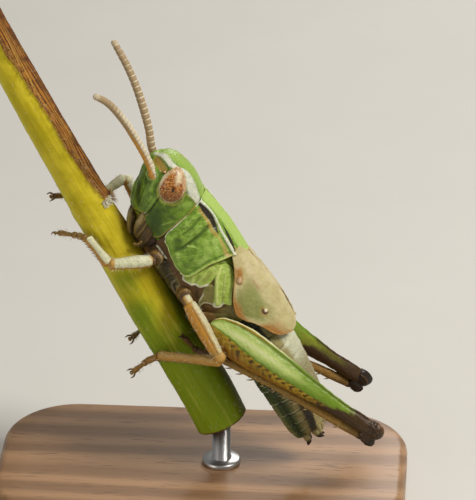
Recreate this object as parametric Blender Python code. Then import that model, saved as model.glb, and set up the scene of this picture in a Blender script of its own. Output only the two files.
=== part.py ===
"""A female meadow grasshopper clinging to a cut length of plant stem, on a small display stand.

The animal is modelled in its own frame (X forward, Y to its left, Z dorsal) with the origin at the
hind tip of the pronotum, and is hung on an empty that pitches it up the stem. Units are metres.
"""

import math

import bmesh
import bpy
import numpy as np
from mathutils import Matrix, Vector

MM = 0.001

# Driving dimensions
BODY_PITCH = math.radians(53.0)  # the body's axis above the horizontal
BODY_ORIGIN = Vector((3.09, 0, 14.6)) * MM  # hind tip of the pronotum in the world
GAP = 0.08 * MM  # between neighbouring pieces
WING_THICKNESS = 0.5 * MM
BASE_LENGTH = 22.0 * MM
BASE_WIDTH = 13.0 * MM
BASE_HEIGHT = 1.8 * MM
BASE_CORNER = 4.0 * MM
BASE_MIDDLE = 0.565 * MM  # along the base, so that it ends as far out as the perch leans
ROD_RADIUS = 0.5 * MM
ROD_DEPTH_IN_STEM = 1.3 * MM

COLOURS = {
    "leaf_green": ((0.16, 0.33, 0.05), 0.45),
    "eye_brown": ((0.33, 0.13, 0.04), 0.25),
    "antenna_tan": ((0.50, 0.36, 0.20), 0.5),
    "mouth_olive": ((0.30, 0.24, 0.12), 0.5),
    "thorax_grey_green": ((0.28, 0.29, 0.14), 0.5),
    "abdomen_tan": ((0.42, 0.38, 0.25), 0.5),
    "wing_straw": ((0.55, 0.43, 0.22), 0.4),
    "leg_pale": ((0.52, 0.40, 0.25), 0.5),
    "hind_leg_green": ((0.34, 0.40, 0.10), 0.45),
    "knee_dark": ((0.06, 0.03, 0.02), 0.4),
    "stem_yellow_green": ((0.42, 0.40, 0.04), 0.5),
    "stand_wood": ((0.50, 0.34, 0.18), 0.5),
    "stand_steel": ((0.55, 0.55, 0.55), 0.3),
}
METALS = {"stand_steel"}


def mm(*values):
    return Vector(values) * MM


def clear_scene():
    for obj in list(bpy.data.objects):
        bpy.data.objects.remove(obj)


def material(name):
    found = bpy.data.materials.get(name)
    if found:
        return found
    made = bpy.data.materials.new(name)
    made.use_nodes = True
    shader = made.node_tree.nodes["Principled BSDF"]
    colour, roughness = COLOURS[name]
    shader.inputs["Base Color"].default_value = (*colour, 1)
    shader.inputs["Roughness"].default_value = roughness
    shader.inputs["Metallic"].default_value = float(name in METALS)
    made.diffuse_color = (*colour, 1)
    return made


def add_piece(name, rings, finish, parent=None, hidden=False):
    """One closed solid lofted through rings of points, each end closed by a fan to its middle."""
    mesh = bmesh.new()
    loops = [[mesh.verts.new(point) for point in ring] for ring in rings]
    count = len(loops[0])
    for near, far in zip(loops, loops[1:]):
        for i in range(count):
            j = (i + 1) % count
            mesh.faces.new((near[i], near[j], far[j], far[i]))
    for loop, turned in ((loops[0], True), (loops[-1], False)):
        middle = mesh.verts.new(sum((v.co for v in loop), Vector()) / count)
        for i in range(count):
            pair = (loop[i], loop[(i + 1) % count])
            mesh.faces.new((*(pair[::-1] if turned else pair), middle))
    bmesh.ops.recalc_face_normals(mesh, faces=mesh.faces)
    data = bpy.data.meshes.new(name)
    mesh.to_mesh(data)
    mesh.free()
    data.materials.append(material(finish))
    data.shade_smooth()
    data.set_sharp_from_angle(angle=math.radians(40))
    obj = bpy.data.objects.new(name, data)
    bpy.context.scene.collection.objects.link(obj)
    obj.parent = parent
    if hidden:
        obj.hide_render = True
        obj.display_type = "WIRE"
    return obj


def carve(obj, *neighbours):
    """Cuts room for each neighbour, and the gap round it, out of obj."""
    for neighbour in neighbours:
        name = "cutter_" + neighbour.name
        cutter = bpy.data.objects.get(name)
        if cutter is None:
            cutter = neighbour.copy()
            cutter.data = neighbour.data.copy()
            cutter.name = name
            cutter.modifiers.clear()
            bpy.context.scene.collection.objects.link(cutter)
            cutter.hide_render = True
            cutter.display_type = "WIRE"
            swell = cutter.modifiers.new("gap", "DISPLACE")
            swell.strength = GAP
            swell.mid_level = 0
        cut = obj.modifiers.new("room for " + neighbour.name, "BOOLEAN")
        cut.operation = "DIFFERENCE"
        cut.solver = "EXACT"
        cut.object = cutter


def smooth_stations(stations, steps):
    """More rows between the given ones, on a curve through them (Catmull-Rom)."""
    rows = np.array(stations, float)
    padded = np.vstack([2 * rows[0] - rows[1], rows, 2 * rows[-1] - rows[-2]])
    made = []
    for i in range(len(rows) - 1):
        a, b, c, d = padded[i : i + 4]
        for k in range(steps):
            t = k / steps
            square = (2 * a - 5 * b + 4 * c - d) * t**2
            cube = (3 * b - a - 3 * c + d) * t**3
            made.append(0.5 * (2 * b + (c - a) * t + square + cube))
    made.append(rows[-1])
    return made


def oval_ring(middle, side, up, half_width, top, bottom, squareness, count):
    """A ring, half_width to each side, top above and bottom below. Squareness 2 is an ellipse."""
    ring = []
    for i in range(count):
        angle = 2 * math.pi * i / count
        c, s = math.cos(angle), math.sin(angle)
        across = math.copysign(abs(c) ** (2 / squareness), c) * half_width
        along = math.copysign(abs(s) ** (2 / squareness), s)
        ring.append(middle + side * across + up * along * (top if s > 0 else bottom))
    return ring


def add_trunk(name, stations, finish, parent, squareness=2.3, steps=2, count=16):
    """A stretch of the body. Stations: x, half width, top z, bottom z, height share of the widest line."""
    rings = []
    for x, half_width, top, bottom, share in smooth_stations(stations, steps):
        widest = bottom + (top - bottom) * share
        rings.append(
            oval_ring(
                mm(x, 0, widest), Vector((0, 1, 0)), Vector((0, 0, 1)),
                half_width * MM, (top - widest) * MM, (widest - bottom) * MM, squareness, count,
            )
        )
    return add_piece(name, rings, finish, parent)


def add_limb(name, points, radii, finish, parent, up=Vector((0, 0, 1)), count=8, steps=2, squareness=2.0):
    """A leg part or feeler along points; radii are (half height, half width) at each of them."""
    rows = [(*p, h * MM, w * MM) for p, (h, w) in zip(points, radii)]
    rows = smooth_stations(rows, steps)
    centres = [Vector(row[:3]) for row in rows]
    rings = []
    for i, row in enumerate(rows):
        ahead = (centres[min(i + 1, len(rows) - 1)] - centres[max(i - 1, 0)]).normalized()
        side = up.cross(ahead).normalized()
        height = ahead.cross(side)
        rings.append(oval_ring(centres[i], side, height, row[4], row[3], row[3], squareness, count))
    return add_piece(name, rings, finish, parent)


def mirrored(side, point):
    return Vector((point[0], point[1] * side, point[2]))


# Head: rings that lean forward at the top more and more, from the neck to the slanting face

HEAD_STATIONS = (  # middle x and z, lean of the ring in degrees, half width, half height
    (3.72, -1.75, 9, 1.15, 1.60),
    (4.12, -1.72, 10, 1.38, 1.96),
    (4.62, -1.64, 13, 1.46, 2.09),
    (5.20, -1.62, 18, 1.46, 2.15),
    (5.72, -1.69, 23, 1.36, 2.09),
    (6.07, -1.82, 27, 1.14, 1.84),
    (6.31, -1.93, 29, 0.86, 1.46),
    (6.47, -2.00, 30, 0.48, 0.94),
)
EYE_CENTRE = (5.50, 1.00, -0.73)
EYE_HALF = (1.00, 0.52, 0.74)  # along its long axis, outwards, across
EYE_TILT = math.radians(50)  # the long axis above the body's axis


def add_head(parent):
    rings = []
    for x, z, lean, half_width, half_height in smooth_stations(HEAD_STATIONS, 2):
        up = Vector((math.sin(math.radians(lean)), 0, math.cos(math.radians(lean))))
        rings.append(
            oval_ring(mm(x, 0, z), Vector((0, 1, 0)), up, half_width * MM,
                      half_height * MM, half_height * MM, 2.5, 18)
        )
    return add_piece("head", rings, "leaf_green", parent)


def add_eye(name, side, parent):
    long_axis = Vector((math.cos(EYE_TILT), 0, math.sin(EYE_TILT)))
    across = Vector((-math.sin(EYE_TILT), 0, math.cos(EYE_TILT)))
    rings = []
    for i in range(1, 9):
        angle = math.pi * i / 9
        reach = math.sin(angle)
        middle = mirrored(side, mm(*EYE_CENTRE)) + long_axis * (-math.cos(angle) * EYE_HALF[0] * MM)
        rings.append(
            oval_ring(middle, Vector((0, 1, 0)), across, EYE_HALF[1] * reach * MM,
                      EYE_HALF[2] * reach * MM, EYE_HALF[2] * reach * MM, 2, 14)
        )
    return add_piece(name, rings, "eye_brown", parent)


ANTENNA_POINTS = {  # from the socket to the tip
    1: ((6.48, 0.60, -1.47), (7.26, 0.75, -1.01), (8.36, 1.00, -0.72), (9.91, 1.50, -0.38),
        (11.32, 2.00, -0.26), (12.24, 2.40, -0.46)),
    -1: ((6.48, -0.60, -1.47), (7.39, -0.70, -0.85), (8.39, -0.85, -0.32), (10.12, -1.20, 0.30),
         (11.50, -1.55, 0.60), (12.91, -2.00, 0.72)),
}
ANTENNA_RADII = ((0.30, 0.30), (0.26, 0.26), (0.25, 0.25), (0.25, 0.25), (0.25, 0.25), (0.25, 0.25))


def add_antenna(name, side, parent):
    points = [mm(*point) for point in ANTENNA_POINTS[side]]
    return add_limb(name, points, ANTENNA_RADII, "antenna_tan", parent, steps=3)


MANDIBLE_POINTS = ((4.62, 1.02, -3.30), (4.35, 0.94, -3.72), (4.02, 0.66, -4.12))
MAXILLA_POINTS = ((3.85, 0.98, -3.36), (3.66, 0.93, -3.80), (3.62, 0.72, -4.28))


def add_mouthparts(head, stem, parent):
    """The labrum in front, then a mandible and a palp-bearing maxilla on each side."""
    labrum = add_limb(
        "labrum", [mm(5.12, 0, -3.45), mm(4.86, 0, -3.86), mm(4.50, 0, -4.22), mm(4.22, 0, -4.42)],
        ((0.30, 0.80), (0.34, 0.82), (0.32, 0.74), (0.25, 0.55)), "mouth_olive", parent,
        up=Vector((1, 0, -0.8)).normalized(), count=10,
    )
    carve(labrum, head, stem)
    for side, tag in ((1, "L"), (-1, "R")):
        mandible = add_limb(
            "mandible_" + tag, [mirrored(side, mm(*point)) for point in MANDIBLE_POINTS],
            ((0.40, 0.30), (0.40, 0.30), (0.30, 0.25)), "mouth_olive", parent, up=Vector((1, 0, 0.3)),
        )
        carve(mandible, head, labrum, stem)
        maxilla = add_limb(
            "maxilla_" + tag, [mirrored(side, mm(*point)) for point in MAXILLA_POINTS],
            ((0.32, 0.27), (0.28, 0.27), (0.25, 0.25)), "mouth_olive", parent, up=Vector((1, 0, 0.3)),
        )
        carve(maxilla, head, labrum, mandible, stem)


# Pronotum: a saddle with a low roof between two keels and a lobe down each side

PRONOTUM_LENGTH = 4.0
RIDGE_HEIGHT = (0.17, 0.30, 0.30, 0.18, 0.02)  # from the front to the back
KEEL_HALF_WIDTH = (0.86, 0.72, 0.76, 1.02, 1.27)
KEEL_DROP = (0.28, 0.32, 0.36, 0.40, 0.44)  # of the keel below the ridge, for each unit across
LOBE_HALF_WIDTH = (1.42, 1.50, 1.60, 1.74, 1.84)
LOBE_BOTTOM = (-2.50, -2.78, -3.10, -3.12, -2.98)
FRONT_EDGE = ((0.0, 4.0), (0.3, 3.98), (0.6, 3.80), (0.85, 3.55), (1.0, 3.24))  # share down the side, x
HIND_EDGE = ((0.0, -0.02), (0.12, 0.10), (0.3, 0.50), (0.6, 0.95), (0.85, 1.05), (1.0, 1.40))


def pronotum_point(down, along):
    """A point of the left half. Down: 0 at the ridge to 1 at the lobe's edge. Along: front to back."""
    front = np.interp(down, *zip(*FRONT_EDGE))
    back = np.interp(down, *zip(*HIND_EDGE))
    x = front + (back - front) * along
    place = np.clip(1 - x / PRONOTUM_LENGTH, 0, 1) * (len(KEEL_HALF_WIDTH) - 1)
    steps = range(len(KEEL_HALF_WIDTH))
    ridge = np.interp(place, steps, RIDGE_HEIGHT)
    keel = np.interp(place, steps, KEEL_HALF_WIDTH)
    lobe = np.interp(place, steps, LOBE_HALF_WIDTH)
    bottom = np.interp(place, steps, LOBE_BOTTOM)
    shoulder = ridge - keel * np.interp(place, steps, KEEL_DROP)
    outline = (
        (0.0, 0.0, ridge), (0.15, 0.5 * keel, 0.5 * (ridge + shoulder)), (0.3, keel, shoulder),
        (0.36, keel + 0.12, shoulder - 0.18), (0.5, keel + 0.66 * (lobe - keel), shoulder - 0.75),
        (0.68, lobe - 0.05, -1.7), (0.85, lobe, 0.2 * -1.7 + 0.8 * bottom), (1.0, lobe - 0.08, bottom),
    )
    shares, ys, zs = zip(*outline)
    return mm(x, np.interp(down, shares, ys), np.interp(down, shares, zs))


def add_pronotum(parent):
    downs = (0.0, 0.15, 0.3, 0.36, 0.5, 0.68, 0.85, 1.0)
    rings = []
    for along in np.linspace(0, 1, 9):
        left = [pronotum_point(down, along) for down in downs]
        rings.append(left + [mirrored(-1, point) for point in left[:0:-1]])
    return add_piece("pronotum", rings, "leaf_green", parent)


# Thorax and abdomen

THORAX_STATIONS = (
    (3.45, 0.70, -2.75, -3.60, 0.5),
    (3.05, 1.05, -2.40, -4.05, 0.5),
    (2.20, 1.38, -1.50, -4.38, 0.5),
    (1.00, 1.70, -0.90, -4.45, 0.5),
    (-0.20, 1.84, -0.75, -4.46, 0.5),
    (-1.40, 1.88, -0.80, -4.40, 0.5),
    (-2.45, 1.80, -0.88, -4.25, 0.5),
)
ABDOMEN_STATIONS = (
    (-2.55, 1.76, -0.88, -4.20, 0.5),
    (-4.00, 1.70, -0.95, -4.22, 0.5),
    (-5.50, 1.62, -1.06, -4.30, 0.5),
    (-7.00, 1.50, -1.36, -4.42, 0.5),
    (-8.50, 1.30, -1.72, -4.56, 0.5),
    (-9.55, 1.05, -2.16, -4.66, 0.5),
    (-10.35, 0.74, -2.72, -4.62, 0.5),
)


def add_ovipositor(abdomen, parent):
    """The two pairs of digging valves at the end of the abdomen, the pairs each joined as one."""
    for name, start, tip in (("ovipositor_upper", -3.52, -3.46), ("ovipositor_lower", -4.18, -4.30)):
        valves = add_limb(
            name, [mm(-10.10, 0, start), mm(-10.62, 0, start + 0.02), mm(-11.10, 0, tip)],
            ((0.27, 0.42), (0.26, 0.36), (0.12, 0.14)), "knee_dark", parent,
        )
        carve(valves, abdomen)


# Wings: short forewings, each a curved plate over the flank

WING_OUTLINE = (  # x, angle of the upper edge, angle of the lower edge, in degrees round the body's axis
    (0.50, 86, 40),
    (-0.30, 87, 29),
    (-1.20, 87.5, 21),
    (-2.00, 87.5, 19),
    (-2.82, 87, 22),
    (-3.60, 84, 30),
    (-4.20, 78, 39),
    (-4.60, 70, 45),
    (-4.85, 62, 53),
)
WING_CENTRE_Z = ((0.5, -2.20), (-4.9, -2.45))
WING_HALF_WIDTH = ((0.5, 1.98), (-2.0, 2.10), (-4.9, 1.86))
WING_HALF_HEIGHT = ((0.5, 2.16), (-2.0, 2.34), (-4.9, 2.14))


def at_x(x, table):
    """A value between the table's rows of (x, value), whose x falls."""
    xs, values = zip(*table[::-1])
    return float(np.interp(x, xs, values))


def wing_point(side, x, degrees, depth):
    angle = math.radians(degrees)
    y = (at_x(x, WING_HALF_WIDTH) - depth) * math.cos(angle)
    z = at_x(x, WING_CENTRE_Z) + (at_x(x, WING_HALF_HEIGHT) - depth) * math.sin(angle)
    return mirrored(side, mm(x, y, z))


def add_wing_arc(name, side, over_the_back, parent):
    """A curved plate down one flank, or, to make room for both wings, from flank to flank over the back."""
    thickness = WING_THICKNESS / MM
    rings = []
    for x, upper, lower in smooth_stations(WING_OUTLINE, 2):
        angles = np.linspace(180 - lower, lower, 13) if over_the_back else np.linspace(upper, lower, 7)
        outer = [wing_point(side, x, angle, 0) for angle in angles]
        inner = [wing_point(side, x, angle, thickness) for angle in angles[::-1]]
        rings.append(outer + inner)
    return add_piece(name, rings, "wing_straw", parent, hidden=over_the_back)


# Legs: the joints of each leg in the body's frame

FORE_JOINTS = {
    1: {"coxa": (2.80, 0.95, -3.70), "trochanter": (2.83, 1.55, -3.98), "knee": (4.25, 2.40, -5.69),
        "ankle": (5.71, 1.31, -6.07), "sole": (6.04, 0.92, -6.55), "tip": (6.66, 0.50, -7.48)},
    -1: {"coxa": (2.80, -0.95, -3.70), "trochanter": (3.15, -1.50, -3.93), "knee": (6.32, -2.20, -3.60),
         "ankle": (6.50, -1.36, -5.30), "sole": (7.20, -1.28, -5.86), "tip": (8.20, -0.34, -6.68)},
}
MID_JOINTS = {
    1: {"coxa": (0.40, 1.25, -3.80), "trochanter": (0.18, 1.90, -3.78), "knee": (-3.40, 2.92, -4.11),
        "ankle": (-1.75, 1.64, -7.03), "sole": (-1.82, 1.06, -8.02), "tip": (-2.03, 0.70, -9.15)},
    -1: {"coxa": (0.40, -1.25, -3.80), "trochanter": (0.12, -1.76, -3.85), "knee": (-3.15, -3.05, -4.40),
         "ankle": (-1.30, -1.76, -6.98), "sole": (-0.98, -1.34, -7.80), "tip": (-0.80, -0.50, -8.45)},
}
HIND_JOINTS = {
    1: {"coxa": (-1.50, 1.30, -3.65), "base": (-1.60, 2.05, -3.58), "knee": (-11.20, 2.95, -0.06),
        "shin_top": (-11.10, 2.92, -0.76), "ankle": (-3.25, 2.02, -4.66), "sole": (-2.72, 1.52, -5.38),
        "tip": (-1.72, 1.34, -5.46)},
    -1: {"coxa": (-1.50, -1.30, -3.65), "base": (-1.60, -2.05, -3.30), "knee": (-11.17, -4.18, -1.14),
         "shin_top": (-11.05, -4.10, -1.90), "ankle": (-3.20, -2.08, -4.95), "sole": (-2.65, -1.60, -5.50),
         "tip": (-1.65, -1.42, -5.58)},
}


def part_of(near, far, start, end):
    """The stretch from share start to share end of the line between two joints."""
    return near.lerp(far, start), near.lerp(far, end)


def add_short_leg(name, joints, thorax, neighbours, stem, parent, femur_radii):
    """A fore or middle leg: coxa, femur, tibia and tarsus."""
    at = {key: mm(*value) for key, value in joints.items()}
    coxa = add_limb(
        name + "_coxa", [at["coxa"], at["coxa"].lerp(at["trochanter"], 0.9)],
        ((0.42, 0.42), (0.36, 0.36)), "mouth_olive", parent, steps=2,
    )
    carve(coxa, thorax, *neighbours, stem)
    start, end = part_of(at["trochanter"], at["knee"], 0.06, 0.97)
    femur = add_limb(
        name + "_femur", [start, start.lerp(end, 0.3), start.lerp(end, 0.7), end],
        femur_radii, "leg_pale", parent,
    )
    carve(femur, coxa, thorax, stem)
    start, end = part_of(at["knee"], at["ankle"], 0.02, 1.0)
    tibia = add_limb(
        name + "_tibia", [start, start.lerp(end, 0.5), end],
        ((0.30, 0.28), (0.25, 0.25), (0.25, 0.25)), "leg_pale", parent,
    )
    carve(tibia, femur, stem)
    tarsus = add_limb(
        name + "_tarsus", [at["ankle"].lerp(at["sole"], 0.1), at["sole"], at["tip"]],
        ((0.25, 0.25), (0.25, 0.25), (0.25, 0.25)), "antenna_tan", parent,
    )
    carve(tarsus, tibia, stem)
    return femur, tibia


HIND_FEMUR_RADII = (  # share of the length, half height, half thickness
    (0.00, 0.52, 0.36), (0.06, 0.82, 0.48), (0.16, 1.04, 0.62), (0.28, 1.03, 0.70), (0.42, 0.86, 0.60),
    (0.58, 0.66, 0.48), (0.74, 0.50, 0.38), (0.86, 0.44, 0.33), (0.93, 0.50, 0.36), (1.00, 0.45, 0.32),
)


def add_hind_leg(name, joints, thorax, blockers, stem, parent):
    at = {key: mm(*value) for key, value in joints.items()}
    coxa = add_limb(
        name + "_coxa", [at["coxa"], at["coxa"].lerp(at["base"], 0.8)],
        ((0.55, 0.55), (0.45, 0.45)), "mouth_olive", parent, steps=2,
    )
    carve(coxa, thorax, stem, *blockers)
    shares, heights, widths = zip(*HIND_FEMUR_RADII)
    femur = add_limb(
        name + "_femur", [at["base"].lerp(at["knee"], share) for share in shares],
        tuple(zip(heights, widths)), "hind_leg_green", parent, steps=2, count=12,
    )
    carve(femur, coxa, thorax, *blockers)
    knee = add_limb(
        name + "_knee", [at["base"].lerp(at["knee"], share) for share in (1.005, 1.03, 1.06)],
        ((0.47, 0.33), (0.46, 0.31), (0.30, 0.22)), "knee_dark", parent, count=12,
    )
    carve(knee, femur)
    tibia = add_limb(
        name + "_tibia", [at["shin_top"].lerp(at["ankle"], share) for share in (0, 0.05, 0.5, 1)],
        ((0.30, 0.26), (0.25, 0.25), (0.25, 0.25), (0.27, 0.25)), "leg_pale", parent,
    )
    carve(tibia, femur, knee, stem, *blockers)
    tarsus = add_limb(
        name + "_tarsus", [at["ankle"].lerp(at["sole"], 0.12), at["sole"], at["tip"]],
        ((0.25, 0.25), (0.25, 0.25), (0.25, 0.25)), "antenna_tan", parent,
    )
    carve(tarsus, tibia, stem)


# Perch and stand, in the world's frame, measured from the hind tip of the pronotum

STEM_STATIONS = (  # x, z, radius
    (-13.87, 13.15, 0.90),
    (-12.31, 10.04, 0.92),
    (-9.37, 4.32, 1.00),
    (-7.54, 0.93, 1.12),
    (-5.22, -3.20, 1.32),
    (-3.38, -6.40, 1.40),
    (-2.11, -8.75, 1.42),
    (-1.45, -10.20, 1.42),
)


def add_stem():
    rows = smooth_stations(STEM_STATIONS, 3)
    centres = [BODY_ORIGIN + mm(x, 0, z) for x, z, _ in rows]
    rings = []
    for i, (_, _, radius) in enumerate(rows):
        ahead = (centres[min(i + 1, len(rows) - 1)] - centres[max(i - 1, 0)]).normalized()
        side = Vector((0, 1, 0))
        up = ahead.cross(side)
        rings.append(oval_ring(centres[i], side, up, radius * MM, radius * MM, radius * MM, 2, 14))
    return add_piece("perch_stem", rings, "stem_yellow_green")


def add_stand(stem):
    run = BASE_LENGTH / 2 - BASE_CORNER
    spread = BASE_WIDTH / 2 - BASE_CORNER
    base_rings = []
    for z, inset in ((0, 0.25 * MM), (0.25 * MM, 0), (BASE_HEIGHT - 0.4 * MM, 0), (BASE_HEIGHT, 0.4 * MM)):
        ring = []
        for quarter in range(4):
            sx, sy = ((1, 1), (-1, 1), (-1, -1), (1, -1))[quarter]
            for step in range(6):
                angle = math.pi / 2 * (quarter + step / 5)
                radius = BASE_CORNER - inset
                x = BASE_MIDDLE + sx * run + radius * math.cos(angle)
                y = sy * spread + radius * math.sin(angle)
                ring.append(Vector((x, y, z)))
        base_rings.append(ring)
    add_piece("stand_base", base_rings, "stand_wood")
    foot = BODY_ORIGIN + mm(STEM_STATIONS[-1][0], 0, STEM_STATIONS[-1][1])
    heights = (BASE_HEIGHT + GAP, foot.z + ROD_DEPTH_IN_STEM)
    along, across = Vector((1, 0, 0)), Vector((0, 1, 0))
    rings = [
        oval_ring(Vector((foot.x, 0, z)), along, across, ROD_RADIUS, ROD_RADIUS, ROD_RADIUS, 2, 12)
        for z in heights
    ]
    rod = add_piece("stand_rod", rings, "stand_steel")
    carve(stem, rod)


def main():
    clear_scene()
    animal = bpy.data.objects.new("animal", None)
    bpy.context.scene.collection.objects.link(animal)
    animal.location = BODY_ORIGIN
    animal.rotation_euler = (0, -BODY_PITCH, math.pi)

    stem = add_stem()
    add_stand(stem)

    head = add_head(animal)
    pronotum = add_pronotum(animal)
    thorax = add_trunk("thorax", THORAX_STATIONS, "thorax_grey_green", animal)
    abdomen = add_trunk("abdomen", ABDOMEN_STATIONS, "abdomen_tan", animal)
    eyes = [add_eye("eye_" + tag, side, animal) for side, tag in ((1, "L"), (-1, "R"))]
    antennae = [add_antenna("antenna_" + tag, side, animal) for side, tag in ((1, "L"), (-1, "R"))]
    wings = [add_wing_arc("forewing_" + tag, side, False, animal) for side, tag in ((1, "L"), (-1, "R"))]
    wing_room = add_wing_arc("wing_room", 1, True, animal)
    carve(head, *eyes, pronotum, *antennae)
    carve(thorax, pronotum, wing_room, head, stem)
    carve(abdomen, thorax, wing_room)
    for wing in wings:
        carve(wing, pronotum)
    add_mouthparts(head, stem, animal)
    add_ovipositor(abdomen, animal)
    for side, tag in ((1, "L"), (-1, "R")):
        add_short_leg(
            "foreleg_" + tag, FORE_JOINTS[side], thorax, [pronotum], stem, animal,
            ((0.30, 0.28), (0.40, 0.34), (0.36, 0.32), (0.30, 0.28)),
        )
        mid_femur, mid_tibia = add_short_leg(
            "midleg_" + tag, MID_JOINTS[side], thorax, [pronotum], stem, animal,
            ((0.34, 0.30), (0.45, 0.36), (0.42, 0.34), (0.36, 0.32)),
        )
        blockers = [abdomen, *wings, mid_femur, mid_tibia]
        add_hind_leg("hindleg_" + tag, HIND_JOINTS[side], thorax, blockers, stem, animal)


main()
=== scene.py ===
import math
from functools import reduce
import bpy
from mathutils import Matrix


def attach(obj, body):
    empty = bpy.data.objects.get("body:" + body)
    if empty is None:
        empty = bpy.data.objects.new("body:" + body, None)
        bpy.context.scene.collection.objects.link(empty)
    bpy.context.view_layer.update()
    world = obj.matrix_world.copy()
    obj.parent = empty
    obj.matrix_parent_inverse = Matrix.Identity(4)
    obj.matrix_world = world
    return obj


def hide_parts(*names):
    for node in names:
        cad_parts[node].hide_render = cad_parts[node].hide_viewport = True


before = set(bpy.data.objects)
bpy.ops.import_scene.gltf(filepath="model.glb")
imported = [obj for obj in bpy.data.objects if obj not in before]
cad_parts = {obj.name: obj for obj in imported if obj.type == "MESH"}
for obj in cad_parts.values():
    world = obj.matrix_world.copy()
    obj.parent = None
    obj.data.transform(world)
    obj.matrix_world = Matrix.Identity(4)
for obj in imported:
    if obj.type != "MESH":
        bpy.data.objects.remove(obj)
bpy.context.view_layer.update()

from types import SimpleNamespace
import bpy
import numpy as np
from mathutils import Matrix, Vector

print("frame loaded:", len(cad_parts), "nodes")

# Lengths are in mm. Most of the animal is laid out in its own frame: x forward, y to its left, z dorsal,
# with the origin at the hind tip of the pronotum.
mm = 0.001
pose = dict(pitch=53.0, hindTip=(3.09, 0.0, 14.6))
paintNames = ("pale", "dark", "warm", "tint", "deep")


def toWorld(points):
    # the body's frame turned by its pitch and set down at the hind tip, in metres
    points = np.asarray(points, float)
    c, s = math.cos(math.radians(pose["pitch"])), math.sin(math.radians(pose["pitch"]))
    x, y, z = points[..., 0], points[..., 1], points[..., 2]
    return (np.stack([s * z - c * x, -y, s * x + c * z], -1) + pose["hindTip"]) * mm


def smooth(points, count, axis=0):
    # Catmull-Rom: a cubic through the points along one axis, read at even steps
    p = np.moveaxis(np.asarray(points, float), axis, 0)
    padded = np.concatenate([[2 * p[0] - p[1]], p, [2 * p[-1] - p[-2]]])
    t = np.linspace(0, len(p) - 1, count)
    i = np.minimum(t.astype(int), len(p) - 2)
    t = (t - i).reshape(-1, *[1] * (p.ndim - 1))
    a, b, c, d = (padded[i + k] for k in range(4))
    made = 0.5 * (2 * b + (c - a) * t + (2 * a - 5 * b + 4 * c - d) * t**2 + (3 * b - a - 3 * c + d) * t**3)
    return np.moveaxis(made, 0, axis)


def read(table, at):
    # a smooth table of even steps from 0 to 1, read at any array of shares
    fine = smooth(table, 200)
    return np.interp(at, np.linspace(0, 1, 200), fine)


def step(low, high, value):
    # 0 below low, 1 above high, and an S curve between
    t = np.clip((value - low) / (high - low), 0, 1)
    return t * t * (3 - 2 * t)


def span(value, rise, risen, fall, fallen):
    # an S curve up from rise to risen, and one down from fall to fallen
    return step(rise, risen, value) * step(fallen, fall, value)


def highest(*values):
    return reduce(np.maximum, values)


def hill(value, width, power=2):
    # 1 at value 0, falling off as exp(-(value / width) ** power)
    return np.exp(-(value / width) ** power)


def turns(count):
    # even angles once round a ring
    return np.arange(count) / count * 2 * math.pi


def squared(value, n):
    # a cosine or sine bent for the superellipse |x| ** n + |y| ** n = 1
    return np.sign(value) * np.abs(value) ** (2 / n)


def columns(rings, rows):
    # a table of rings made smooth, as one upright array for each of its columns
    return (column[:, None] for column in smooth(rings, rows).T)


def unit(v):
    return v / np.maximum(np.linalg.norm(v, axis=-1, keepdims=True), 1e-9)


def frameOf(near, far):
    # unit vectors ahead from near to far, to the side, and up at right angles to both
    ahead = unit(np.asarray(far, float) - np.asarray(near, float))
    side = unit(np.cross((0, 0, 1), ahead))
    return ahead, side, np.cross(ahead, side)


def ripple(points, size, seed, waves=9):
    # soft lumps: the mean of a few sine waves of about one wavelength in random directions, from -1 to 1
    rng = np.random.default_rng(seed)
    turns = unit(rng.normal(size=(waves, 3))) * rng.uniform(0.7, 1.5, (waves, 1)) * 2 * math.pi / size
    return np.sin(points @ turns.T + rng.uniform(0, 6.28, waves)).sum(-1) / math.sqrt(waves) / 1.5


def normals(grid, wrap):
    # across the surface: the cross product of its two tangents, turned away from the middle of each row
    if wrap:
        wide = np.concatenate([grid[:, -1:], grid, grid[:, :1]], 1)
        dv = (wide[:, 2:] - wide[:, :-2]) / 2
    else:
        dv = np.gradient(grid, axis=1)
    out = unit(np.cross(np.gradient(grid, axis=0), dv))
    return out * np.sign(((grid - grid.mean(1, keepdims=True)) * out).sum())


def fromCurve(points, curve):
    # distance of every point from a polyline, and the share of the line at which the nearest place lies
    flat = points.reshape(-1, 1, 3)
    a, ab = curve[:-1], np.diff(curve, axis=0)
    t = np.clip(((flat - a) * ab).sum(-1) / np.maximum((ab**2).sum(-1), 1e-12), 0, 1)
    gap = np.linalg.norm(flat - a - t[..., None] * ab, axis=-1)
    best = gap.argmin(1)
    rows = np.arange(len(best))
    shape = points.shape[:-1]
    return gap[rows, best].reshape(shape), ((best + t[rows, best]) / len(ab)).reshape(shape)


def mark(path, width, height=0.0, edge=2, side=0, **paint):
    # one feature of a surface: width is a number or several from the start of the path to its end
    return dict(path=path, width=width, height=height, edge=edge, side=side, paint=paint)


def sculpt(grid, marks, wrap=True):
    # each mark lifts the surface by height * exp(-(distance / width) ** edge) and lays its paint so too;
    # a mark is given on the left and counts on both sides, unless side is 1 (left only) or -1
    paint = {name: np.zeros(grid.shape[:-1]) for name in paintNames}
    lift = np.zeros(grid.shape[:-1])
    for m in marks:
        at = grid if m["side"] else grid * (1, -1, 1) * (grid[..., 1:2] < 0) + grid * (grid[..., 1:2] >= 0)
        path = np.asarray(m["path"], float)
        curve = smooth(path, 5 * (len(path) - 1) + 1) if len(path) > 2 else path
        gap, share = fromCurve(at, curve)
        widths = np.atleast_1d(m["width"])
        width = np.interp(share, np.linspace(0, 1, len(widths)), widths) if len(widths) > 1 else widths[0]
        near = np.exp(-((gap / width) ** m["edge"]))
        lift += m["height"] * near
        for name, strength in m["paint"].items():
            paint[name] = np.maximum(paint[name], strength * near)
    return grid + normals(grid, wrap) * lift[..., None], paint


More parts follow.
